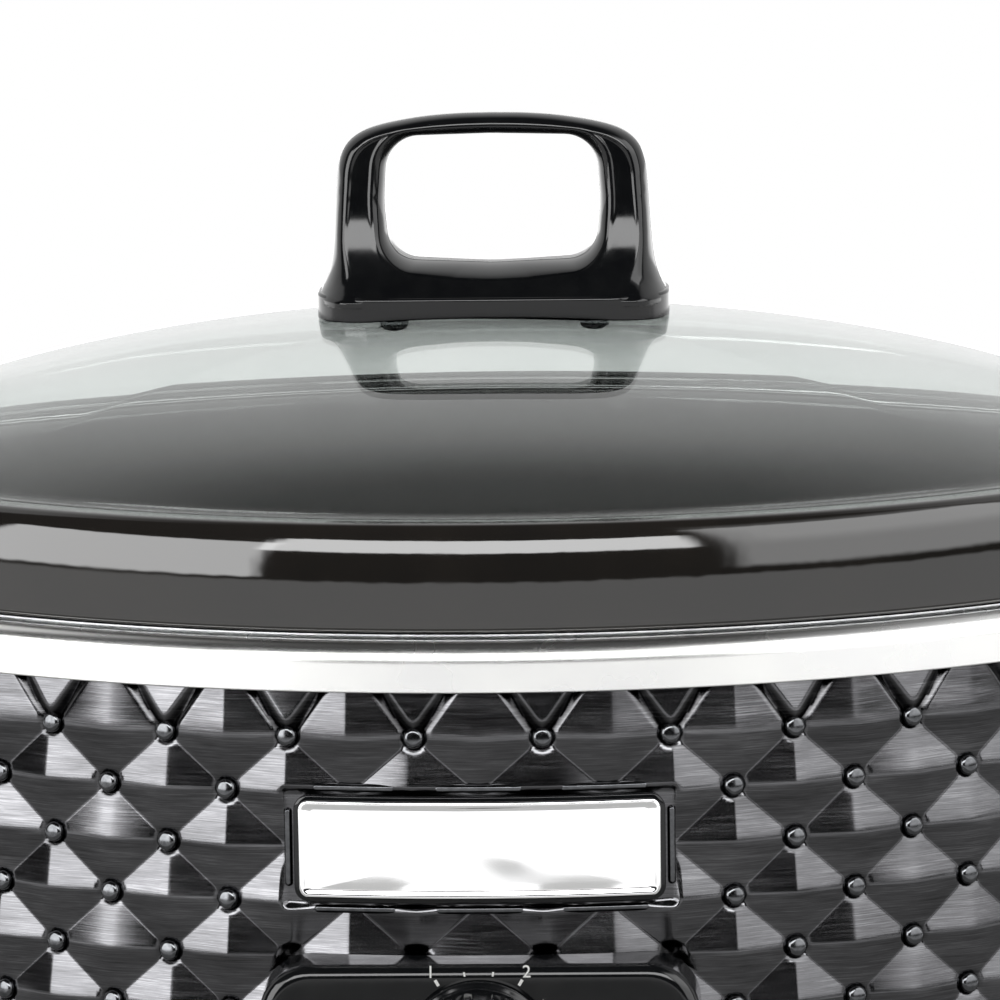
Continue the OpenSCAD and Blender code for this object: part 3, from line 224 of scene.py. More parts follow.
finishes = {
    "shell": brushedTintedSteel(),
    "glass": temperedGlass(),
    "belt": wovenGlassFibre(),
    # Pressed heads of the same tinted sheet, rubbed bright: smooth dark mirrors
    "beads": plainFinish("polished_tinted_steel", "#4a4b4d", 0.15, metallic=1.0, grainSize=1.5,
                         wear="#5c5d5f"),
    # Stainless strip, polished on a wheel: a clean mirror with faint cloudiness
    "trim": plainFinish("polished_stainless_steel", "#e8e8e6", 0.27, metallic=1.0, grainSize=30,
                        wear="#e4e4e4", spread=0.03),
    # Zinc casting, polished and chromed: the brightest mirror on the cooker
    "chrome": plainFinish("chromed_zinc", "#f4f4f5", 0.06, metallic=1.0, grainSize=20, wear="#fafafa",
                          spread=0.02),
    # Stoneware under a thick black gloss glaze: deep black, sharp reflections that waver with the clay
    "glaze": plainFinish("black_glazed_stoneware", "#1b1917", 0.05, ior=1.6, grain=0.12, grainSize=22,
                         wear="#201d1a", spread=0.02),
    # Phenolic moulded in polished dies: black, glossy, very faintly uneven
    "phenolic": plainFinish("moulded_black_phenolic", "#0b0c0e", 0.1, ior=1.4, grain=0.01, grainSize=6,
                            wear="#111213", spread=0.03),
    # Polypropylene moulded in spark-eroded dies: black and dull with a grain of 0.5 mm
    "moulded": plainFinish("textured_black_polypropylene", "#131313", 0.5, ior=1.49, grain=0.05,
                           grainSize=0.6, wear="#1b1b1b"),
    "rubber": plainFinish("black_nitrile_rubber", "#121212", 0.75, ior=1.52, grain=0.04, grainSize=0.8,
                          wear="#1c1c1b"),
    "silicone": plainFinish("black_silicone", "#1a1b1c", 0.45, ior=1.41, grainSize=2, wear="#232425"),
    # Aluminised sheet: dull silver with a fine spangle
    "sheet": plainFinish("aluminised_sheet", "#b8babc", 0.38, metallic=1.0, grain=0.01, grainSize=2.5,
                         wear="#cfd0d1", spread=0.08),
    # Zinc-plated screws: pale bluish silver, a little cloudy
    "zinc": plainFinish("zinc_plated_steel", "#bfc2c6", 0.28, metallic=1.0, grainSize=1.2,
                        wear="#d3d5d8", spread=0.06),
    "brass": plainFinish("turned_brass", "#c9a35a", 0.25, metallic=1.0, grainSize=0.4, wear="#d8b871",
                         stretch=(1, 0.1, 1)),
    "ceramic": plainFinish("unglazed_ceramic", "#dcd9cf", 0.6, grain=0.02, grainSize=0.7, wear="#e8e5dc"),
    "nylon": plainFinish("moulded_nylon", "#d8d1bb", 0.45, grainSize=3, wear="#e0dac6"),
    "whiteLead": plainFinish("white_silicone_insulation", "#dcdcda", 0.5, grainSize=3, wear="#e6e6e4"),
    "redLead": plainFinish("red_silicone_insulation", "#a3201a", 0.5, grainSize=3, wear="#b32a22"),
    # Filled white lettering and pointer: matt enamel rubbed into the moulding
    "ink": plainFinish("white_enamel_fill", "#e9e9e6", 0.4, grainSize=0.8, wear="#f2f2ef"),
}
slotFinish = {    # a piece whose finish isn't its slot's own says so
    "silicone": "silicone", "fastener_steel": "zinc", "aluminised_steel": "sheet", "glass_fibre": "belt",
    "fuse_ceramic": "ceramic", "foot_rubber": "rubber", "terminal_nylon": "nylon", "shaft_brass": "brass",
    "lead_white": "whiteLead", "lead_red": "redLead", "base_plastic": "moulded",
    "handle_plastic": "phenolic", "knob_plastic": "phenolic", "pointer_white": "ink",
    "tempered_glass": "glass", "glazed_stoneware": "glaze", "polished_trim": "trim",
    "tinted_steel": "shell", "nameplate_chrome": "chrome",
}
print("finishes made:", len(finishes))

trimLow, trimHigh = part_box("trim_ring")
shellLow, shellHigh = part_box("outer_shell")
controlLow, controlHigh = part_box("control_housing")

shell = {
    "embossDepth": 2.6,      # from the grooves out to the tips of the pyramids
    "trimOverhang": 1.2,     # from the tips out to the trim ring
    "columns": 68,           # half pyramids round the shell
    "rowStep": 13.3,         # half the height of a pyramid
    "firstRowDrop": 11.3,    # from the trim ring down to the first row of studs
    "steps": 20,             # mesh steps in each half pyramid
    "ridgeRound": 0.045,     # softness of ridges and grooves, as a share of a half pyramid
    "grooveRound": 0.03,
    "firstStretch": 0.64,    # above the first studs the pattern is drawn out upwards
    "channelDepth": 0.8,     # and its grooves are cut deeper
    "channelWidth": 2.0,     # from its middle to its edge
    "wedgeHeight": 1.7,      # of the sheet between two channels, at the stud below them
    "wedgeFall": 0.17,       # in mm for each mm up
    "dimpleDepth": 0.75,     # round each stud
    "dimpleRadius": 3.7,
    "beadRadius": 2.45,
    "beadHeight": 1.45,
    "beadShoulder": 1.25,
    "beadRoot": 0.7,         # how deep a stud stands in the sheet
    "beadTilt": 7,           # degrees that its flat top faces upwards
    "panelColumns": 3,       # half width of the flat panel behind the nameplate
    "panelRows": (2, 4),
    "panelDepth": 0.6,
    "sheet": 0.8,
}

# the oval is four arcs on 3-4-5 triangles, read from the trim ring
valleyDrop = (shell["embossDepth"] + shell["trimOverhang"]) * mm
halfLength = (trimHigh.x - trimLow.x) / 2 - valleyDrop
halfDepth = (trimHigh.y - trimLow.y) / 2 - valleyDrop
centreY = (trimHigh.y + trimLow.y) / 2
ovalUnit = (halfLength - halfDepth) / 2
endRadius = halfDepth - ovalUnit
sideRadius = endRadius + 5 * ovalUnit
endX, sideY = 3 * ovalUnit, 4 * ovalUnit
joinAngle = math.atan2(3, 4)
sideArc = sideRadius * joinAngle
perimeter = 4 * (sideArc + endRadius * (math.pi / 2 - joinAngle))
ovalSides = 416    # points round an oval


def ovalFrame(share):    # points of the groove line and outward normals, from the front centre towards +X
    share = np.asarray(share, float) % 1.0
    across = np.minimum(share, 1 - share)
    along = np.minimum(across, 0.5 - across) * perimeter
    onSide = along < sideArc
    angle = np.where(onSide, along / sideRadius, joinAngle + (along - sideArc) / endRadius)
    nx, ny = np.sin(angle), -np.cos(angle)
    px = np.where(onSide, sideRadius * nx, endX + endRadius * nx)
    py = np.where(onSide, sideY + sideRadius * ny, endRadius * ny)
    flipX = np.where(share > 0.5, -1.0, 1.0)
    flipY = np.where(across > 0.25, -1.0, 1.0)
    return (np.stack([px * flipX, py * flipY + centreY], -1),
            np.stack([nx * flipX, ny * flipY], -1))


def ovalPlace(share, out, z):    # point at a distance out from the groove line
    point, normal = ovalFrame(share)
    flat = point + normal * np.asarray(out)[..., None]
    return np.concatenate([flat, np.broadcast_to(np.asarray(z, float), flat.shape[:-1])[..., None]], -1)


def reachOf(node):    # how far a node's outline stands out from the groove line
    low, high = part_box(node)
    return (high.x - low.x) / 2 - halfLength


def rounded(corners, steps=6, closed=False):    # outline through corners (a, b, radius), in mm
    outline = []
    for i, (a, b, radius) in enumerate(corners):
        here = np.array((a, b), float)
        if radius == 0 or (not closed and i in (0, len(corners) - 1)):
            outline.append(here)
            continue
        before = np.array(corners[i - 1][:2], float) - here
        after = np.array(corners[(i + 1) % len(corners)][:2], float) - here
        lengths = np.linalg.norm(before), np.linalg.norm(after)
        before, after = before / lengths[0], after / lengths[1]
        half = math.acos(max(-1, min(1, float(before @ after)))) / 2
        cut = min(radius / math.tan(half), 0.499 * lengths[0], 0.499 * lengths[1])
        r = cut * math.tan(half)
        middle = (before + after) / np.linalg.norm(before + after)
        centre = here + middle * r / math.sin(half)
        start, end = here + before * cut - centre, here + after * cut - centre
        first = math.atan2(start[1], start[0])
        sweep = (math.atan2(end[1], end[0]) - first + math.pi) % (2 * math.pi) - math.pi
        for j in range(steps + 1):
            angle = first + sweep * j / steps
            outline.append(centre + r * np.array((math.cos(angle), math.sin(angle))))
    return np.array(outline)


def dress(piece, body, slot, replaced=(), finish=None):
    scene.collection.objects.link(piece)
    piece.data.materials.append(finishes[finish or slotFinish[slot]])
    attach(piece, body)
    if replaced:
        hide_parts(*replaced)
    return piece


def makePiece(name, points, faces, body, slot, replaced=(), finish=None, sharp=40, weighted=True, flip=True):
    mesh = bpy.data.meshes.new(name)
    mesh.from_pydata([tuple(p) for p in np.asarray(points, float)], [], [tuple(f) for f in faces])
    if flip:
        work = bmesh.new()
        work.from_mesh(mesh)
        bmesh.ops.recalc_face_normals(work, faces=work.faces)
        work.to_mesh(mesh)
        work.free()
    mesh.polygons.foreach_set("use_smooth", [True] * len(mesh.polygons))
    if sharp:
        mesh.set_sharp_from_angle(angle=math.radians(sharp))
    piece = bpy.data.objects.new(name, mesh)
    if weighted:
        even = piece.modifiers.new("even_normals", "WEIGHTED_NORMAL")
        even.keep_sharp = True
    return dress(piece, body, slot, replaced, finish)


def ringFaces(rings, sides, closedRings=False, caps=(True, True)):
    # Faces through rings of points that each have as many sides; caps close the first and the last
    faces = []
    around = np.arange(sides)
    following = (around + 1) % sides
    for i in range(rings if closedRings else rings - 1):
        a, b = i * sides, ((i + 1) % rings) * sides
        faces += np.stack([a + around, a + following, b + following, b + around], 1).tolist()
    if not closedRings and caps[0]:
        faces.append(list(range(sides - 1, -1, -1)))
    if not closedRings and caps[1]:
        faces.append([(rings - 1) * sides + k for k in range(sides)])
    return faces


def ovalRing(share, out, z):    # a level ring out mm from the groove line and z mm high
    return ovalPlace(share, np.full(len(share), out * mm), z * mm)


def ovalLoft(name, profile, body, slot, replaced, closed=False):
    # profile is (distance out from the groove line, height) in mm
    share = np.arange(ovalSides) / ovalSides
    rings = [ovalRing(share, out, z) for out, z in profile]
    makePiece(name, np.concatenate(rings), ringFaces(len(rings), ovalSides, closed), body, slot, replaced)


def roundOver(radius, degrees):    # (inset, rise) round a quarter circle
    return [(radius * (1 - math.cos(a)), radius * math.sin(a)) for a in np.radians(degrees)]


crock = {
    "bandHeight": 25.6, "shoulderLean": 6.0, "shoulderDrop": 16.0, "crestWidth": 12.6, "ledgeWidth": 12.3,
    "ledgeDrop": 4.5, "skirtThickness": 8.0, "wallInset": 18.7, "wallThickness": 7.0, "taper": 9.0,
    "footRadius": 20.0, "insideRadius": 26.0, "floorThickness": 7.0, "flare": 4.0, "edge": 1.6,
}
bandOut = reachOf("stoneware_crock") / mm
crestZ, crockFootZ = crockHigh.z / mm, crockLow.z / mm
ledgeZ = crestZ - crock["ledgeDrop"]
seatZ = crestZ - crock["bandHeight"]
recessOut = bandOut - crock["crestWidth"]
mouthOut = recessOut - crock["ledgeWidth"]


def makeCrock():
    skirtOut = bandOut - crock["skirtThickness"]
    wallOut = bandOut - crock["wallInset"]
    footOut = wallOut - crock["taper"]
    insideOut = footOut - crock["wallThickness"]
    underZ = ledgeZ - crock["wallThickness"]
    floorZ = crockFootZ + crock["floorThickness"]
    edge = crock["edge"]
    lean, drop = crock["shoulderLean"], crock["shoulderDrop"]
    outside = rounded([
        (footOut - 24, crockFootZ, 0), (footOut, crockFootZ, crock["footRadius"]),
        (wallOut, underZ - crock["flare"], 3), (wallOut + crock["flare"], underZ, 2), (skirtOut, underZ, 3),
        (skirtOut, seatZ, 1.5), (bandOut, seatZ, edge), (bandOut, crestZ - drop - 0.5, 0)], steps=8)
    turn = np.radians(np.linspace(0, 90, 19))
    shoulder = np.stack([bandOut - lean * (1 - np.cos(turn)), crestZ - drop * (1 - np.sin(turn))], 1)
    inside = rounded([
        (bandOut - lean - 0.5, crestZ, 0), (recessOut, crestZ, edge), (recessOut, ledgeZ, 1),
        (mouthOut, ledgeZ, 2.5), (insideOut, floorZ, crock["insideRadius"]), (insideOut - 30, floorZ, 0)],
        steps=8)
    profile = np.concatenate([outside, shoulder, inside])
    ovalLoft("crock", profile, "crock", "glazed_stoneware", ["stoneware_crock"])


makeCrock()

trim = {"shoulder": 5.4, "edge": 0.4, "sheet": 0.8}
wellLow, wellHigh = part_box("heating_well")
well = {"inset": 16.0, "sheet": 0.8, "corner": 9.0, "setBack": 4.0, "lip": 0.45, "lipBack": 0.5}
tipOut = shell["embossDepth"]
trimOut = tipOut + shell["trimOverhang"]


def makeTrimRing():
    low, high, sheet = trimLow.z / mm, trimHigh.z / mm, trim["sheet"]
    inner = -well["inset"] + 0.3
    profile = rounded([
        (tipOut + 0.3, low, 0.1), (trimOut, low, trim["edge"]), (trimOut, high, trim["shoulder"]),
        (inner, high, 0.1), (inner, high - sheet, 0.1),
        (trimOut - sheet, high - sheet, trim["shoulder"] - sheet),
        (trimOut - sheet, low + sheet, 0.1), (tipOut + 0.3, low + sheet, 0.1)], steps=8, closed=True)
    ovalLoft("trim_band", profile, "base", "polished_trim", ["trim_ring"], closed=True)


def makeWell():
    low, top, sheet = wellLow.z / mm, wellHigh.z / mm, well["sheet"]
    wall, flange, level = -well["inset"], reachOf("heating_well") / mm, trimHigh.z / mm
    behind, lip = flange - well["setBack"], flange - well["lipBack"]
    profile = rounded([
        (wall - 14, low, 0), (wall, low, well["corner"]), (wall, level, 0.2), (behind, level, 0.2),
        (behind, top - well["lip"], 0.1), (lip, top - well["lip"], 0.1), (lip, top, 0.15),
        (wall - sheet, top, 1.5), (wall - sheet, low + sheet, well["corner"] - sheet),
        (wall - 14, low + sheet, 0)], steps=8)
    ovalLoft("liner", profile, "base", "aluminised_steel", ["heating_well"])


makeTrimRing()
makeWell()
print("crock, trim ring and well made")

plateLow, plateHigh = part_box("nameplate")
plateZ = (plateLow.z + plateHigh.z) / 2 / mm
sideHandle = {
    "reach": 42.0, "half": 56.0, "bowInset": 6.0, "bowWidth": 13.0, "bowHeight": 14.0, "corner": 20.0,
    "root": 10.0, "tilt": 8.0, "padDrop": 2.0, "padHeight": 34.0, "padThickness": 5.0, "padCorner": 8.0,
    "padGap": 0.3, "flareStart": 6.0, "flareLength": 13.0, "flareWide": 0.32, "flareTall": 0.5,
    "squareness": 0.62,    # its section lies between a box at 0 and an ellipse at 1
}
padTopZ = trimLow.z / mm - sideHandle["padDrop"]
padMiddleZ = padTopZ - sideHandle["padHeight"] / 2
topRowZ = trimLow.z / mm - shell["firstRowDrop"] + shell["rowStep"]
halfPitch = perimeter / mm / shell["columns"]


def softAbs(value, softness):
    return np.sqrt(value * value + softness * softness) - softness


def fade(value, start, end):    # 1 before start, 0 past end, smooth between
    t = np.clip((value - start) / (end - start), 0, 1)
    return 1 - t * t * (3 - 2 * t)


def rowDrop(row):    # mm below the top row
    return np.where(row < 1, 1 - (1 - row) / shell["firstStretch"], row) * shell["rowStep"]


def emboss(column, row):
    # Height over the groove line in mm, and the painted shade that follows how deep the sheet is pressed
    # in at the channels and dimples, from 0 to 0.5. Studs stand where column + row is even.
    falling, rising = column + row, column - row
    a = falling - (2 * np.floor(falling / 2) + 1)
    b = rising - (2 * np.floor(rising / 2) + 1)
    level = 1 - softAbs((a + b) / 2, shell["ridgeRound"]) - softAbs((a - b) / 2, shell["ridgeRound"])
    height = softAbs(np.maximum(level, 0), shell["grooveRound"]) * shell["embossDepth"]
    # the grooves run on up to the trim ring as channels
    tall = shell["rowStep"] / shell["firstStretch"]
    toGroove = (1 - np.maximum(np.abs(a), np.abs(b))) * halfPitch * tall / math.hypot(halfPitch, tall)
    channel = shell["channelDepth"] * fade(toGroove, 0.2, shell["channelWidth"]) * fade(row, 0.88, 0.98)
    # a dimple round each stud
    studColumn = np.round(column)
    studRow = np.round(row)
    near = np.hypot((column - studColumn) * halfPitch, rowDrop(row) - rowDrop(studRow))
    columnsOut = np.abs((column + shell["columns"] / 2) % shell["columns"] - shell["columns"] / 2)
    firstRow, lastRow = shell["panelRows"]
    onPanel = (columnsOut < shell["panelColumns"] + 0.5) & (studRow >= firstRow) & (studRow <= lastRow)
    isStud = ((studColumn + studRow) % 2 == 0) & ~onPanel
    dimple = shell["dimpleDepth"] * fade(near, shell["beadRadius"] * 0.8, shell["dimpleRadius"])
    dimple = np.where(isStud & (studRow > 0), dimple, 0)
    # between the channels above a stud the sheet faces upwards
    studSide = np.abs(column - 2 * np.floor(column / 2) - 1)
    wedge = fade(studSide - (1 - row), -0.02, 0.04) * (row < 1)
    height = height * (1 - wedge) + (
        shell["wedgeHeight"] - shell["wedgeFall"] * (rowDrop(1.0) - rowDrop(row))) * wedge
    height = height - channel - dimple
    # flat panel behind the nameplate
    rowsOut = np.maximum(firstRow - row, row - lastRow)
    panel = fade(columnsOut - shell["panelColumns"], 0.0, 0.12) * fade(rowsOut, 0.0, 0.12)
    height = height * (1 - panel) + shell["panelDepth"] * panel
    # smooth behind the side handles
    point = ovalFrame(column / shell["columns"])[0]
    z = topRowZ - rowDrop(row)
    besidePad = np.abs(point[..., 1] - centreY) / mm - sideHandle["half"]
    abovePad = np.abs(z - padMiddleZ) - sideHandle["padHeight"] / 2
    pad = fade(besidePad, 1, 4) * fade(abovePad, 1, 4) * (np.abs(point[..., 0]) > endX)
    # painted shade for the shell's colour: darker in the channels and the dimples round the studs
    grooveShade = 0.5 * channel / shell["channelDepth"] + 0.3 * dimple / shell["dimpleDepth"]
    return height * (1 - pad) + shell["embossDepth"] * pad, grooveShade * (1 - pad)


def makeShell():
    steps, columns = shell["steps"], shell["columns"]
    high, low = shellHigh.z / mm, shellLow.z / mm
    firstRow = 1 - (1 - (topRowZ - high) / shell["rowStep"]) * shell["firstStretch"]
    lastRow = (topRowZ - low) / shell["rowStep"]
    inner = np.arange(math.ceil(firstRow * steps) + 1, math.floor(lastRow * steps)) / steps
    rowPlaces = np.concatenate([[firstRow], inner, [lastRow]])
    columnPlaces = np.arange(columns * steps) / steps
    row, column = np.meshgrid(rowPlaces, columnPlaces, indexing="ij")
    height, grooveShade = emboss(column, row)
    height[0] = height[-1] = shell["embossDepth"] / 2
    face = ovalPlace(column / columns, height * mm, (topRowZ - rowDrop(row)) * mm)
    across, down = len(columnPlaces), len(rowPlaces)
    studZ = topRowZ - shell["rowStep"]
    sheet = shell["sheet"]
    back = [ovalRing(columnPlaces / columns, -deep, z) for deep, z in (
        (sheet, low), (sheet, studZ - 4), (2 * sheet, studZ + 1), (2 * sheet, high))]
    i, k = np.meshgrid(np.arange(down - 1), np.arange(across), indexing="ij")
    a, b = i * across + k, i * across + (k + 1) % across
    c, d = a + across, b + across
    middleRow = (rowPlaces[:-1] + rowPlaces[1:])[:, None] / 2
    middleColumn = (np.arange(across)[None] + 0.5) / steps
    # which way the groove crosses the cell
    falls = np.broadcast_to((np.floor(middleRow) + np.floor(middleColumn)) % 2 == 0, a.shape)
    split = np.where(falls[..., None], np.stack([a, c, d, a, d, b], -1), np.stack([a, c, b, b, c, d], -1))
    faces = split.reshape(-1, 3).tolist()
    ring = np.arange(across)
    following = (ring + 1) % across
    starts = [(down - 1 + k) * across for k in range(len(back) + 1)] + [0]
    for first, second in zip(starts, starts[1:]):
        faces += np.stack([first + ring, second + ring, second + following, first + following], 1).tolist()
    points = np.concatenate([face.reshape(-1, 3), *back])
    piece = makePiece("embossed_shell", points, faces, "base", "tinted_steel", ["outer_shell"], sharp=60,
                      weighted=False, flip=False)
    # the painted shade for the channels and dimples goes to the shell's colour as a point attribute
    depth = np.zeros(len(piece.data.vertices))
    depth[:grooveShade.size] = grooveShade.ravel()
    piece.data.attributes.new("groove_shade", "FLOAT", "POINT").data.foreach_set("value", depth)


def makeBeads():    # flat-topped studs at the corners of the pyramids, one mesh
    radius, high, turns = shell["beadRadius"], shell["beadHeight"], 24
    profile = rounded([(radius, -shell["beadRoot"], 0), (radius, high, shell["beadShoulder"]),
                       (0, high + 0.15, 0)], steps=6)[:-1]
    profile = np.append(profile, [[radius * 0.25, high + 0.13]], 0)
    levels = len(profile)
    tilt = math.radians(shell["beadTilt"])
    firstRow, lastRow = shell["panelRows"]
    points, faces = [], []
    rows = int((topRowZ - shellLow.z / mm - 3) / shell["rowStep"])
    for row in range(1, rows + 1):
        for column in range(row % 2, shell["columns"], 2):
            columnsOut = min(column, shell["columns"] - column)
            z = topRowZ - row * shell["rowStep"]
            centre = ovalPlace(column / shell["columns"], 0.0, z * mm)
            onPanel = columnsOut <= shell["panelColumns"] and firstRow <= row <= lastRow
            behindPad = (abs(centre[1] - centreY) / mm < sideHandle["half"] + 3 and abs(centre[0]) > endX
                         and abs(z - padMiddleZ) < sideHandle["padHeight"] / 2 + 3)
            behindControl = (controlLow.x - 2 * mm < centre[0] < controlHigh.x + 2 * mm
                             and z * mm < controlHigh.z + 2 * mm and centre[1] < centreY)
            if onPanel or behindPad or behindControl:
                continue
            flat = np.append(ovalFrame(column / shell["columns"])[1], 0.0)
            side = np.array((-flat[1], flat[0], 0.0))
            normal = flat * math.cos(tilt) + np.array((0, 0, math.sin(tilt)))
            upward = np.cross(normal, side) * -1
            start = len(points)
            for reach, height in profile:
                for turn in range(turns):
                    angle = 2 * math.pi * turn / turns
                    points.append(centre + mm * (height * normal + reach * (
                        math.cos(angle) * side + math.sin(angle) * upward)))
            points.append(centre + (high + 0.15) * mm * normal)
            faces += [[start + f for f in face] for face in ringFaces(levels, turns, caps=(True, False))]
            last = start + (levels - 1) * turns
            faces += [[last + k, last + (k + 1) % turns, last + turns] for k in range(turns)]
    makePiece("shell_studs", points, faces, "base", "tinted_steel", finish="beads", sharp=None,
              weighted=False)


makeShell()
makeBeads()
print("embossed shell made")


def outlineOf(width, height, corner, steps=10, cuts=16):    # its sides are cut up so that they can bend
    w, h = width / 2, height / 2
    corners = rounded([(x, z, corner) for x, z in ((w, -h), (w, h), (-w, h), (-w, -h))], steps, closed=True)
    points = []
    for i, start in enumerate(corners):
        end = corners[(i + 1) % len(corners)]
        parts = cuts if i % (steps + 1) == steps else 1
        points += [start + (end - start) * k / parts for k in range(parts)]
    return np.array(points)


def ovalPlate(name, share, z, size, levels, slot, replaced=(), face=None, finish=None, sharp=40, steps=10):
    # size is (width, height, corner radius); levels are (inset, distance out) from the plate's back round
    # its edge to the rim of its face; face adds rings across it, by a count and a function for its height
    width, height, corner = size
    rings = []
    for inset, out in levels:
        shape = outlineOf(width - 2 * inset, height - 2 * inset, max(corner - inset, 0.3), steps)
        rings.append((shape, np.full(len(shape), out)))
    if face:
        count, relief = face
        inset, out = levels[-1]
        edge = rings[-1][0]
        for i in range(1, count):
            shape = edge * (1 - i / count)
            rings.append((shape, out + relief(shape[:, 0], shape[:, 1], i / count)))
    sides = len(rings[0][0])
    points = np.concatenate([
        ovalPlace(share + shape[:, 0] * mm / perimeter, out * mm, (z + shape[:, 1]) * mm)
        for shape, out in rings])
    makePiece(name, points, ringFaces(len(rings), sides), "base", slot, replaced, finish, sharp)


plate = {
    "width": 87.6, "height": 25.8, "corner": 3.6, "thickness": 2.2, "gap": 0.9,
    "surround": 1.2, "rimWidth": 1.3, "rimDepth": 0.4, "rippleHeight": 0.045, "rippleLength": 17.0,
    "faceRings": 26,
}


def makeNameplate():
    back = plate["gap"]
    front = back + plate["thickness"]
    rim = plate["rimWidth"]

    def ripple(x, z, share):    # a softly beaten face, flat where it meets the rim
        size = plate["rippleLength"]
        waves = (np.sin(x / size * 2.1 + 1.3 * np.sin(z / size * 3.0)) * np.cos(z / size * 3.4 + 0.7)
                 + 0.6 * np.sin(x / size * 4.3 - z / size * 2.2 + 1.0))
        return plate["rippleHeight"] * waves * min(1, share * 6)

    size, edge = (plate["width"], plate["height"], plate["corner"]), plate["surround"]
    levels = [(edge, back + 0.2), (edge, front - 0.4), (edge + 0.15, front - 0.12), (edge + 0.4, front),
              (edge + rim - 0.4, front), (edge + rim, front - 0.12),
              (edge + rim + 0.5, front - plate["rimDepth"])]
    ovalPlate("badge_plate", 0, plateZ, size, levels, "nameplate_chrome", ["nameplate"],
              face=(plate["faceRings"], ripple), sharp=50)
    # painted shadow: a black rim round the plate stands for the shade in the gap round its edge
    levels = [(0.3, back), (0, back + 0.3), (0, front - 0.9), (0.3, front - 0.6), (edge + 0.3, front - 0.5)]
    ovalPlate("badge_shadow_rim", 0, plateZ, size, levels, "handle_plastic", sharp=50)


ribs = {"width": 2.0, "height": 1.2, "gap": 1.7, "lengths": (20.0, 21.0, 21.0), "spread": 29.5,
        "upright": 19.0}


def makeRibs():    # short half-round ribs pressed out of the sheet round the nameplate
    top = plateZ + plate["height"] / 2 + ribs["gap"]
    bottom = plateZ - plate["height"] / 2 - ribs["gap"]
    side = plate["width"] / 2 + ribs["gap"]
    spots = [(x, z, length, ribs["width"]) for z in (top, bottom)
             for x, length in zip((-ribs["spread"], 0, ribs["spread"]), ribs["lengths"])]
    spots += [(x, plateZ, ribs["width"], ribs["upright"]) for x in (-side, side)]
    for i, (x, z, width, height) in enumerate(spots):
        half, out = ribs["width"] / 2, shell["panelDepth"]
        levels = [(inset, out - 0.1 + rise * ribs["height"] / half)
                  for inset, rise in roundOver(half, [0, 20, 40, 60, 75])]
        ovalPlate(f"shell_rib_{i + 1}", x * mm / perimeter, z, (width, height, half * 0.98), levels,
                  "tinted_steel", finish="beads", sharp=None, steps=6)


makeNameplate()
makeRibs()


def makePad(side):
    share = 0.25 if side > 0 else 0.75
    back = tipOut + sideHandle["padGap"]
    front = back + sideHandle["padThickness"]
    levels = [(0.4, back), (0, back + 0.4), (0, front - 2), (0.3, front - 1), (1, front - 0.3), (2, front)]
    name = "right" if side > 0 else "left"
    width = 2 * endRadius / mm * math.asin(sideHandle["half"] / (endRadius / mm))
    size = width, sideHandle["padHeight"], sideHandle["padCorner"]
    ovalPlate(f"handle_pad_{name}", share, padMiddleZ, size, levels, "handle_plastic")


def makeBow(side):    # the loop of a side handle: a rounded section swept along three sides of a frame
    name = "right" if side > 0 else "left"
    low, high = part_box(f"side_handle_{name}")
    width, thick = sideHandle["bowWidth"], sideHandle["bowHeight"]
    tilt = math.radians(sideHandle["tilt"])
    half = sideHandle["half"] - sideHandle["bowInset"] - width / 2
    rootX = halfLength / mm - sideHandle["root"] * 0.2
    tipX = halfLength / mm + sideHandle["reach"] - width / 2
    path = rounded([(rootX, -half, 0), (tipX, -half, sideHandle["corner"] - width / 2),
                    (tipX, half, sideHandle["corner"] - width / 2), (rootX, half, 0)], steps=14)
    # more rings along the legs, so that their roots can widen
    leg = np.linspace(0, 1, 12)[1:-1, None]
    path = np.concatenate([path[:1], path[0] * (1 - leg) + path[1] * leg, path[1:-1],
                           path[-2] * (1 - leg) + path[-1] * leg, path[-1:]])
    ahead = np.roll(path, -1, 0) - np.roll(path, 1, 0)
    ahead[0], ahead[-1] = path[1] - path[0], path[-1] - path[-2]
    ahead /= np.linalg.norm(ahead, axis=1)[:, None]
    turns = 40
    angle = np.arange(turns) / turns * 2 * math.pi
    across, upward = (np.sign(way) * np.abs(way) ** sideHandle["squareness"]
                      for way in (np.cos(angle), np.sin(angle)))
    points = []
    for here, way in zip(path, ahead):
        flare = max(0.0, 1 - (here[0] - rootX - sideHandle["flareStart"]) / sideHandle["flareLength"]) ** 2
        wide = width / 2 * (1 + sideHandle["flareWide"] * flare)
        tall = thick / 2 * (1 + sideHandle["flareTall"] * flare)
        outward = np.array((way[1], -way[0]))
        for a, u in zip(across, upward):
            flat = here + outward * a * wide
            reach = flat[0] - (halfLength / mm - sideHandle["root"])
            x = flat[0] - reach * (1 - math.cos(tilt)) - u * tall * math.sin(tilt)
            z = padMiddleZ + reach * math.sin(tilt) + u * tall * math.cos(tilt)
            points.append((side * x, flat[1], z))
    points = np.array(points) * mm
    points[:, 0] += side * (high.x if side > 0 else -low.x) - side * np.abs(points[:, 0]).max()
    points[:, 1] += centreY
    makePiece(f"handle_bow_{name}", points, ringFaces(len(path), turns), "base", "handle_plastic",
              [f"side_handle_{name}"], sharp=50)


for handleSide in (-1, 1):
    makePad(handleSide)
    makeBow(handleSide)
print("nameplate and side handles made")

lidLow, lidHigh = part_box("lid_glass")
lid = {"thickness": 3.2, "fall": 26.0, "rimWidth": 3.0, "rimSink": 0.3, "edgePower": 10, "bevel": 1.3}


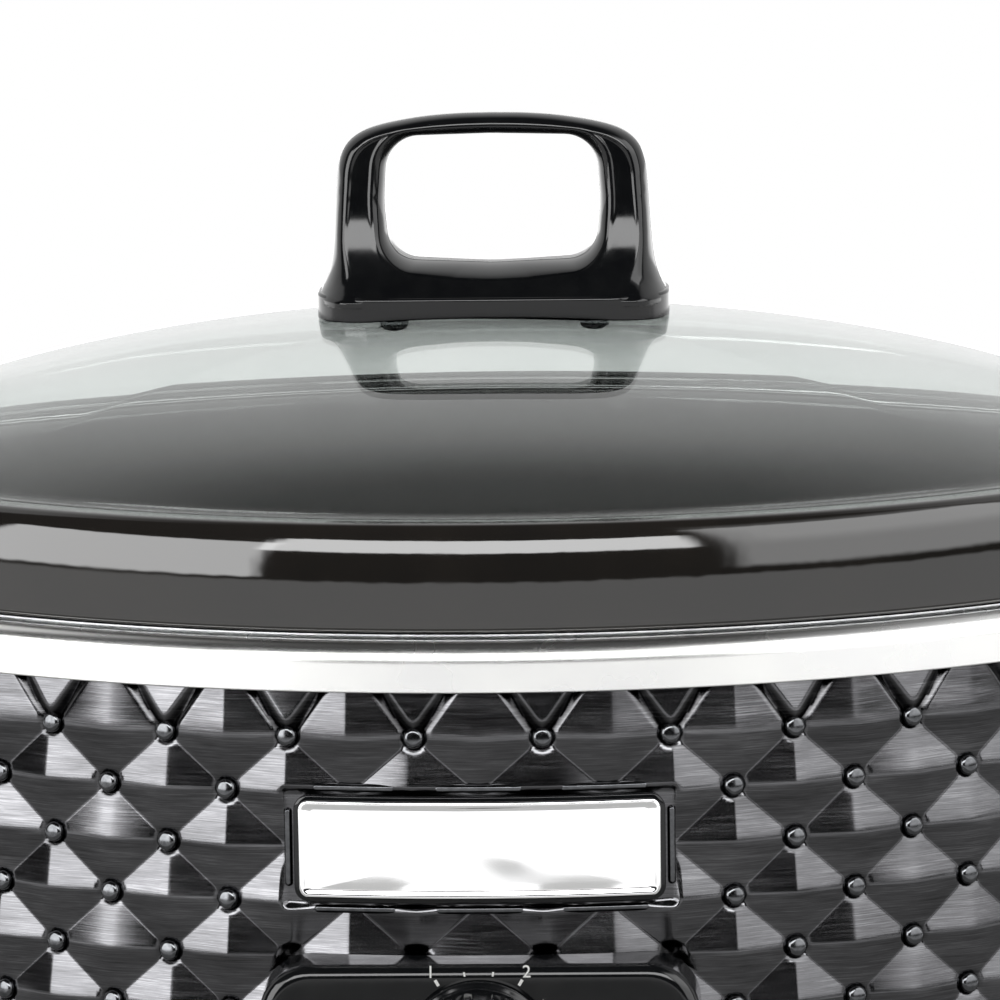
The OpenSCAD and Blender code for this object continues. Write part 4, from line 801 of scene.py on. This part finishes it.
def makeGlass():    # a dome that falls evenly and turns down close to its edge, with a narrow rim
    sides, steps, power = ovalSides, 44, lid["edgePower"]
    share = np.arange(sides) / sides
    edgeOut, footZ, domeZ = reachOf("lid_glass") / mm, lidLow.z / mm, lidHigh.z / mm
    capOut, rimZ = edgeOut - lid["rimWidth"], crestZ - lid["rimSink"]
    edgeFall = domeZ - rimZ - lid["fall"]
    run = (halfLength + halfDepth) / 2 / mm + capOut

    def surface(t):    # rings of the face that lies t mm inside the outer one, from the middle to the edge
        rings = []
        for f in np.linspace(0, 1, steps + 1)[1:] ** 0.75:
            slope = math.atan((2 * lid["fall"] * f + power * edgeFall * f ** (power - 1)) / run)
            out = capOut - t * math.sin(slope) / f
            height = domeZ - lid["fall"] * f ** 2 - edgeFall * f ** power - t * math.cos(slope)
            rings.append(ovalRing(share, out, height) * [f, f, 1] + [0, centreY * (1 - f), 0])
        return rings

    inner = surface(lid["thickness"])[::-1]
    innerOut = (inner[0][0, 1] - ovalPlace(0, 0.0, 0.0)[1]) / -mm
    bevel = lid["bevel"]
    corners = rounded([(capOut - 0.5, rimZ, 0), (edgeOut, rimZ, bevel), (edgeOut, footZ, bevel),
                       (innerOut, footZ, 1.0), (innerOut, footZ + 1.2, 0)], steps=5)[1:-1]
    rings = surface(0) + [ovalRing(share, out, z) for out, z in corners] + inner
    points = np.concatenate(rings + [np.array([(0, centreY, domeZ * mm),
                                               (0, centreY, (domeZ - lid["thickness"]) * mm)])])
    count = len(rings)
    faces = ringFaces(count, sides, caps=(False, False))
    last = (count - 1) * sides
    for k in range(sides):
        faces.append([k, count * sides, (k + 1) % sides])
        faces.append([last + k, last + (k + 1) % sides, count * sides + 1])
    makePiece("glass_lid", points, faces, "lid", "tempered_glass", ["lid_glass"], sharp=None, weighted=False)


makeGlass()

handleLow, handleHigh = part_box("lid_handle")
lidHandle = {
    # the front outline from its top middle down the right side, (x, z over the dome)
    "outline": ((0, 49.2), (9, 49.0), (18, 48.2), (27.3, 46.5), (33.0, 44.4), (36.6, 41.2), (38.3, 36.8),
                (38.9, 31.0), (39.3, 25.4), (39.9, 17.0), (40.7, 11.5), (42.0, 7.4), (43.6, 4.4)),
    "openHalf": 26.9, "openTop": 44.0, "openLow": 11.9, "openTopCorner": 8.5, "openLowCorner": 17.0,
    "topDepth": 6.9,       # half its depth at the top, and how that grows downwards
    "lean": 0.11, "leanStart": 29.5, "flare": 44.0, "flareTop": 33.5,
    "outerRound": 3.3, "roundTop": 20.0, "roundFall": 11.6, "roundGrowth": 5.2, "footRound": 8.5,
    "innerRound": 3.3, "saddleRound": 5.2, "dish": 0.3,
    # the outer rounding is measured level below levelLow and across the loop above levelHigh
    "levelLow": 17, "levelHigh": 27,
}
lidFoot = {"corner": 16.0, "top": 5.1, "edge": 0.9, "underCurve": 526.0}


def spaced(outline, count, closed=True):    # count points evenly apart along an outline
    line = np.concatenate([outline, outline[:1]]) if closed else outline
    along = np.concatenate([[0], np.cumsum(np.linalg.norm(np.diff(line, axis=0), axis=1))])
    at = np.linspace(0, along[-1], count, endpoint=not closed)
    return np.stack([np.interp(at, along, line[:, 0]), np.interp(at, along, line[:, 1])], 1)


def smoothed(corners, steps=12):    # a soft curve through the given points
    corners = np.asarray(corners, float)
    corners = np.concatenate([2 * corners[:1] - corners[1:2], corners, 2 * corners[-1:] - corners[-2:-1]])
    curve = []
    for a, b, c, d in zip(corners, corners[1:], corners[2:], corners[3:]):
        for t in np.arange(steps) / steps:
            curve.append(0.5 * (2 * b + (c - a) * t + (2 * a - 5 * b + 4 * c - d) * t ** 2
                                + (3 * b - a - 3 * c + d) * t ** 3))
    return np.array(curve + [corners[-2]])


def makeHandleLoop():    # a loop with rounded edges that grows deeper downwards until it meets its foot
    h = lidHandle
    right = smoothed(h["outline"])
    foot = np.array([(x, 2.5) for x in np.linspace(43.6, -43.6, 80)])
    outer = np.concatenate([right, foot, (right * [-1, 1])[:0:-1]])
    half, high, low = h["openHalf"], h["openTop"], h["openLow"]
    corners = [(0, high, 60), (half - 0.9, high - 0.6, h["openTopCorner"]), (half, high - 17, 40),
               (half - 1.4, low + 1.2, h["openLowCorner"]), (0, low, 60)]
    inner = rounded(corners + [(-x, z, r) for x, z, r in corners[-2:0:-1]], steps=12, closed=True)
    count = 300
    innerLine = spaced(inner, count)
    middle = np.array((0, (high + low) / 2))    # sections lie on rays from the middle of the opening
    outerFine = spaced(outer, 6000) - middle
    rays = innerLine - middle
    outerAngle = np.arctan2(outerFine[:, 1], outerFine[:, 0])
    order = np.argsort(outerAngle)
    reach = np.interp(np.arctan2(rays[:, 1], rays[:, 0]), outerAngle[order],
                      np.linalg.norm(outerFine, axis=1)[order], period=2 * math.pi)
    length = np.linalg.norm(rays, axis=1)
    width = (reach - length)[:, None]
    turn = np.linspace(0, math.pi, 57)
    part = np.concatenate([[0.0, 0.002, 0.008], (1 - np.cos(turn[3:-3])) / 2, [0.992, 0.998, 1.0]])[None]
    place = middle + (rays / length[:, None])[:, None] * (length[:, None] + width * part)[..., None]
    z = place[..., 1]
    drop = np.clip(h["flareTop"] - z, 0, h["flare"] * 0.9)
    depth = h["topDepth"] + h["flare"] - np.sqrt(h["flare"] ** 2 - drop ** 2)
    depth = np.minimum(depth, (handleHigh.y - handleLow.y) / 2 / mm - 0.6)
    depth = depth - h["lean"] * np.maximum(z - h["leanStart"], 0)
    saddle = fade(z, low - 3, low + 9) * fade(np.abs(place[..., 0]), half - 9, half + 2)
    innerRound = h["innerRound"] + (h["saddleRound"] - h["innerRound"]) * saddle
    growth = np.clip((h["roundTop"] - z) / h["roundFall"], 0, 1.1) ** 2
    outerRound = np.minimum(h["outerRound"] + h["roundGrowth"] * growth, h["footRound"])
    innerRound = np.minimum(innerRound, width * 0.47)

    def quarter(distance, radius):
        return np.sqrt(np.clip(1 - (1 - np.minimum(distance / radius, 1)) ** 2, 0, 1))

    across = np.interp(-z, -right[:, 1], right[:, 0]) - np.abs(place[..., 0])
    level = fade(z, h["levelLow"], h["levelHigh"])
    fromInner, fromOuter = width * part, width * (1 - part) * (1 - level) + np.maximum(across, 0) * level
    room = np.maximum(width * 0.5, width - h["innerRound"]) * (1 - level) + 20 * level
    outerRound = np.minimum(outerRound, room)
    face = fade(-fromInner, -innerRound - 1.0, -innerRound) * fade(-z, -low - 16, -low - 2)
    face = face * fade(-fromOuter, -outerRound - 0.6, -outerRound)
    front = depth * quarter(fromInner, innerRound) * quarter(fromOuter, outerRound) - h["dish"] * face
    sideOf = [np.stack([place[..., 0], -front, z], -1), np.stack([place[..., 0], front, z], -1)[:, -2:0:-1]]
    points = np.concatenate(sideOf, axis=1)
    sides = points.shape[1]
    points = points.reshape(-1, 3) * mm + np.array((0, centreY, lidHigh.z))
    makePiece("loop_handle", points, ringFaces(count, sides, closedRings=True), "lid", "handle_plastic",
              ["lid_handle"], sharp=None, weighted=False)


def makeHandleFoot():    # the flange under the loop, which lies on the glass
    f = lidFoot
    length, depth = (handleHigh.x - handleLow.x) / mm, (handleHigh.y - handleLow.y) / mm
    rings = []
    edge, top = f["edge"], f["top"]
    levels = [(0.5, None), (0.05, None)]
    levels += [(inset, top - edge + rise) for inset, rise in roundOver(edge, np.linspace(0, 80, 7))]
    for inset, z in levels + [(3.0, top + 0.1)]:
        shape = outlineOf(length - 2 * inset, depth - 2 * inset, f["corner"] - inset, 14)
        # the underside lies on the glass
        under = 0.25 + 0.35 * (inset < 0.1) - (shape ** 2).sum(1) / 2 / f["underCurve"]
        height = under if z is None else np.full(len(shape), z)
        rings.append(np.column_stack([shape, height]))
    points = np.concatenate(rings) * mm + np.array((0, centreY, lidHigh.z))
    makePiece("handle_flange", points, ringFaces(len(rings), len(rings[0])), "lid", "handle_plastic")


makeHandleLoop()
makeHandleFoot()
print("lid made")

control = {"corner": 12.0, "edge": 3.0, "wall": 2.5}
dial = {"ticks": 10, "tickStep": 20, "longTick": (1.6, 0.7), "shortTick": (1.0, 0.45), "tickGap": 0.9,
        "numbers": 4, "numberStep": 60, "numberGap": 4.6, "numberHeight": 4.2, "inkHeight": 0.12}
knobLow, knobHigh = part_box("knob")
knobX, knobZ = (knobLow.x + knobHigh.x) / 2, (knobLow.z + knobHigh.z) / 2


def standing(shape, y, x=0.0, z=0.0):    # an outline stood up at depth y
    return np.column_stack([shape[:, 0] + x, np.broadcast_to(y, len(shape)), shape[:, 1] + z])


def makeControlHousing():
    width, height = (controlHigh.x - controlLow.x) / mm, (controlHigh.z - controlLow.z) / mm
    middleZ, front = (controlHigh.z + controlLow.z) / 2 / mm, controlLow.y / mm
    corner, edge, wall = control["corner"], control["edge"], control["wall"]

    def backOf(x):    # the housing's rear edge lies on the tips of the pyramids
        reach = sideRadius / mm + tipOut + 0.3
        return centreY / mm + sideY / mm - np.sqrt(reach ** 2 - x ** 2)

    levels = [(edge + 2, corner - (edge + 2) * 0.8, front)]
    levels += [(inset, corner - inset * 0.8, front + edge - rise)
               for inset, rise in roundOver(edge, np.linspace(90, 0, 8))]
    levels += [(0, corner, None), (wall, corner - wall, None), (wall, corner - wall, front + wall + 3),
               (wall + 3, corner - wall, front + wall)]
    rings = []
    for inset, radius, y in levels:
        shape = outlineOf(width - 2 * inset, height - 2 * inset, radius)
        rings.append(standing(shape, backOf(shape[:, 0]) if y is None else y, z=middleZ))
    points = np.concatenate(rings) * mm
    points[:, 0] += knobX
    makePiece("control_panel", points, ringFaces(len(rings), len(rings[0])), "base", "handle_plastic",
              ["control_housing"])


def makeDial():    # ticks and the numbers 0 to 3, read clockwise from the left
    front, ink = controlLow.y, dial["inkHeight"] * mm
    knobRadius = (knobHigh.x - knobLow.x) / 2 / mm
    for i in range(dial["ticks"]):
        angle = math.radians(180 - dial["tickStep"] * i)
        length, width = dial["longTick" if i % 3 == 0 else "shortTick"]
        radius = knobRadius + dial["tickGap"] + length / 2
        out = np.array((math.cos(angle), math.sin(angle)))
        along = np.array((-out[1], out[0]))
        corners = [out * (radius + s * length / 2) + along * t * width / 2
                   for s, t in ((-1, -1), (1, -1), (1, 1), (-1, 1))]
        points = [(knobX + c[0] * mm, y, knobZ + c[1] * mm) for y in (front + 0.1 * mm, front - ink)
                  for c in corners]
        makePiece(f"dial_tick_{i + 1}", points, ringFaces(2, 4), "base", "pointer_white", sharp=20)
    for number in range(dial["numbers"]):
        angle = math.radians(180 - dial["numberStep"] * number)
        radius = (knobRadius + dial["numberGap"]) * mm
        text = bpy.data.curves.new(f"dial_number_{number}", "FONT")
        text.body = str(number)
        text.size = dial["numberHeight"] * mm
        text.extrude = ink
        text.align_x, text.align_y = "CENTER", "CENTER"
        piece = bpy.data.objects.new(f"dial_number_{number}", text)
        piece.location = (knobX + radius * math.cos(angle), front, knobZ + radius * math.sin(angle))
        piece.rotation_euler = (math.pi / 2, 0, 0)
        dress(piece, "base", "pointer_white")


knobShape = {"flutes": 22, "fluteDepth": 0.7, "flange": 2.4, "inset": 1.6, "edge": 2.2, "rimWidth": 5.2,
             "dishInset": 6.4, "dish": 0.9}


def makeKnob():
    radius = (knobHigh.x - knobLow.x) / 2 / mm
    depth = (knobHigh.y - knobLow.y) / mm
    k = knobShape
    profile = rounded([
        (radius - 5, 0, 0), (radius - 0.4, 0, 0.3), (radius, k["flange"], 0.9),
        (radius - k["inset"], k["flange"] + 0.8, 0.8), (radius - k["inset"] - 1.0, depth, k["edge"]),
        (radius - k["rimWidth"], depth, 0.6), (radius - k["dishInset"], depth - k["dish"], 0.8),
        (0.4, depth - k["dish"], 0)])
    sides = 264
    angle = np.arange(sides) / sides * 2 * math.pi
    wave = np.clip(np.cos(angle * k["flutes"]), -0.2, 1) * 0.5 + 0.1
    rings = []
    for r, y in profile:
        grip = 1 - fade(y, k["flange"] + 1.0, k["flange"] + 2.6)
        bent = r - k["fluteDepth"] * wave * grip * (1 - fade(r, radius - 5.4, radius - 3.4))
        rings.append(np.stack([bent * np.cos(angle), np.full(sides, -y), bent * np.sin(angle)], 1))
    points = np.concatenate(rings) * mm + np.array((knobX, knobHigh.y, knobZ))
    makePiece("dial_knob", points, ringFaces(len(rings), sides), "knob", "knob_plastic", ["knob"])


def makePointer():
    low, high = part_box("knob_pointer")
    length, width = (high.x - low.x) / mm, (high.z - low.z) / mm
    middle, front = (low + high) / 2 / mm, knobLow.y / mm
    rings = []
    for inset, y in ((0, knobShape["dish"] + 0.6), (0, 0.5), (0.1, 0.25), (0.35, 0.15)):
        shape = outlineOf(length - 2 * inset, width - 2 * inset, width / 2 - inset, 6)
        rings.append(standing(shape, front + y, middle.x, middle.z))
    makePiece("dial_pointer", np.concatenate(rings) * mm, ringFaces(len(rings), len(rings[0])), "knob",
              "pointer_white", ["knob_pointer"])


makeControlHousing()
makeDial()
makeKnob()
makePointer()
print("controls made")

# CAD nodes that stay as they are take the same finishes
for subpart in frame["record"]["subparts"]:
    node = nodes[subpart["node"]]
    node.data.materials.clear()
    node.data.materials.append(finishes[slotFinish[subpart["material_slot"]]])
print("CAD nodes finished")

studio = {
    "floorRadius": 0.56,    # metres
    "floorGlow": 0.5,
    "ambient": 0.55,        # what dull surfaces get from all round
    "lightSize": 1.4,
    "lights": {"key_light": ((-1.6, -1.4, 1.9), 32.0), "fill_light": ((1.7, -1.2, 1.5), 16.0)},
}
# what mirrors see: (from, to, softness) round from straight in front and up from level, and brightness
reflected = (
    (-180, 180, 1, -22, -3, 2, 1.3),       # white surround below the eye
    (-180, 180, 1, -90, -24, 2, 0.5),      # and the floor in its shade
    (-70, -32, 3, 1, 31, 2, 7.0),          # soft box at the left
    (-30, 26, 3, 23, 39, 2, 10.0),         # strip light in front, above the camera
    (34, 88, 5, 5, 50, 4, 3.0),            # reflector at the right, brighter high up
    (40, 90, 10, 32, 50, 14, 1.2),
    (-180, -105, 12, -3, 46, 30, 1.0),     # white wall behind
    (105, 180, 12, -3, 46, 30, 1.0),
    (-180, 180, 1, -90, 90, 1, 0.05),      # what the dark room still gives
)


def makeFloor():
    # Pale matt board: white to the eye, with the cooker's soft shadow on it
    material, tree = startMaterial("pale_matt_board")
    path = addNode(tree, "ShaderNodeLightPath")
    tint = colourOf(tree, noiseOf(tree, (300, 300, 300), 2.0), [(0.3, "#c2c2c1"), (0.7, "#c8c8c7")])
    board = addNode(tree, "ShaderNodeBsdfDiffuse", inputs={"Color": tint})
    glow = addNode(tree, "ShaderNodeEmission", inputs={
        "Color": (1, 1, 1, 1), "Strength": studio["floorGlow"]})
    both = addNode(tree, "ShaderNodeAddShader", inputs={0: board.outputs[0], 1: glow.outputs[0]})
    seen = addNode(tree, "ShaderNodeMixShader", inputs={
        "Fac": path.outputs["Is Camera Ray"], 1: board.outputs[0], 2: both.outputs[0]})
    addNode(tree, "ShaderNodeOutputMaterial", inputs={"Surface": seen.outputs[0]})
    mesh = bpy.data.meshes.new("floor")
    sides, radius = 96, studio["floorRadius"]
    turns = [2 * math.pi * k / sides for k in range(sides)]
    ring = [(radius * math.cos(turn), radius * math.sin(turn), -0.2 * mm) for turn in turns]
    mesh.from_pydata(ring, [], [list(range(sides))])
    mesh.materials.append(material)
    floor = bpy.data.objects.new("floor", mesh)
    scene.collection.objects.link(floor)


def makeWorld():
    # White to the eye and through glass. Mirrors see a studio: a white surround low down and behind,
    # broad soft boxes high at the left and the right, and darkness between them in front.
    world = bpy.data.worlds.new("studio")
    scene.world = world
    world.use_nodes = True
    tree = world.node_tree
    tree.nodes.clear()
    path = addNode(tree, "ShaderNodeLightPath")
    place = addNode(tree, "ShaderNodeTexCoord")
    split = addNode(tree, "ShaderNodeSeparateXYZ", inputs={"Vector": place.outputs["Generated"]})
    around = calc(tree, "ARCTAN2", split.outputs["X"], calc(tree, "MULTIPLY", split.outputs["Y"], -1.0))
    height = calc(tree, "ARCSINE", split.outputs["Z"])

    def band(value, low, high, soft):    # 1 between low and high degrees, fading over soft degrees
        outerLow, innerLow, innerHigh, outerHigh = np.radians((low - soft, low, high, high + soft)).tolist()
        rise = mapRange(tree, value, outerLow, innerLow, kind="SMOOTHSTEP")
        fall = mapRange(tree, value, innerHigh, outerHigh, 1.0, 0.0, "SMOOTHSTEP")
        return calc(tree, "MULTIPLY", rise, fall)

    total = None
    for low, high, soft, bottom, top, softUp, strength in reflected:
        patch = calc(tree, "MULTIPLY", band(around, low, high, soft), band(height, bottom, top, softUp))
        lit = calc(tree, "MULTIPLY", patch, strength)
        total = lit if total is None else calc(tree, "ADD", total, lit)
    dull = mixOf(tree, path.outputs["Is Glossy Ray"], studio["ambient"], total)
    seen = calc(tree, "MAXIMUM", path.outputs["Is Camera Ray"], path.outputs["Is Transmission Ray"])
    background = addNode(tree, "ShaderNodeBackground", inputs={
        "Color": (1, 1, 1, 1), "Strength": mixOf(tree, seen, dull, 1.0)})
    addNode(tree, "ShaderNodeOutputWorld", inputs={"Surface": background.outputs[0]})


def makeLight(name, position, power):
    data = bpy.data.lights.new(name, "AREA")
    data.size = studio["lightSize"]
    data.energy = power
    light = bpy.data.objects.new(name, data)
    light.location = position
    light.rotation_euler = (Vector(position) - aim).to_track_quat("Z", "Y").to_euler()
    light.visible_camera = light.visible_glossy = False
    scene.collection.objects.link(light)


makeFloor()
makeWorld()
for lightName, (lightPlace, lightPower) in studio["lights"].items():
    makeLight(lightName, lightPlace, lightPower)
print("studio made")
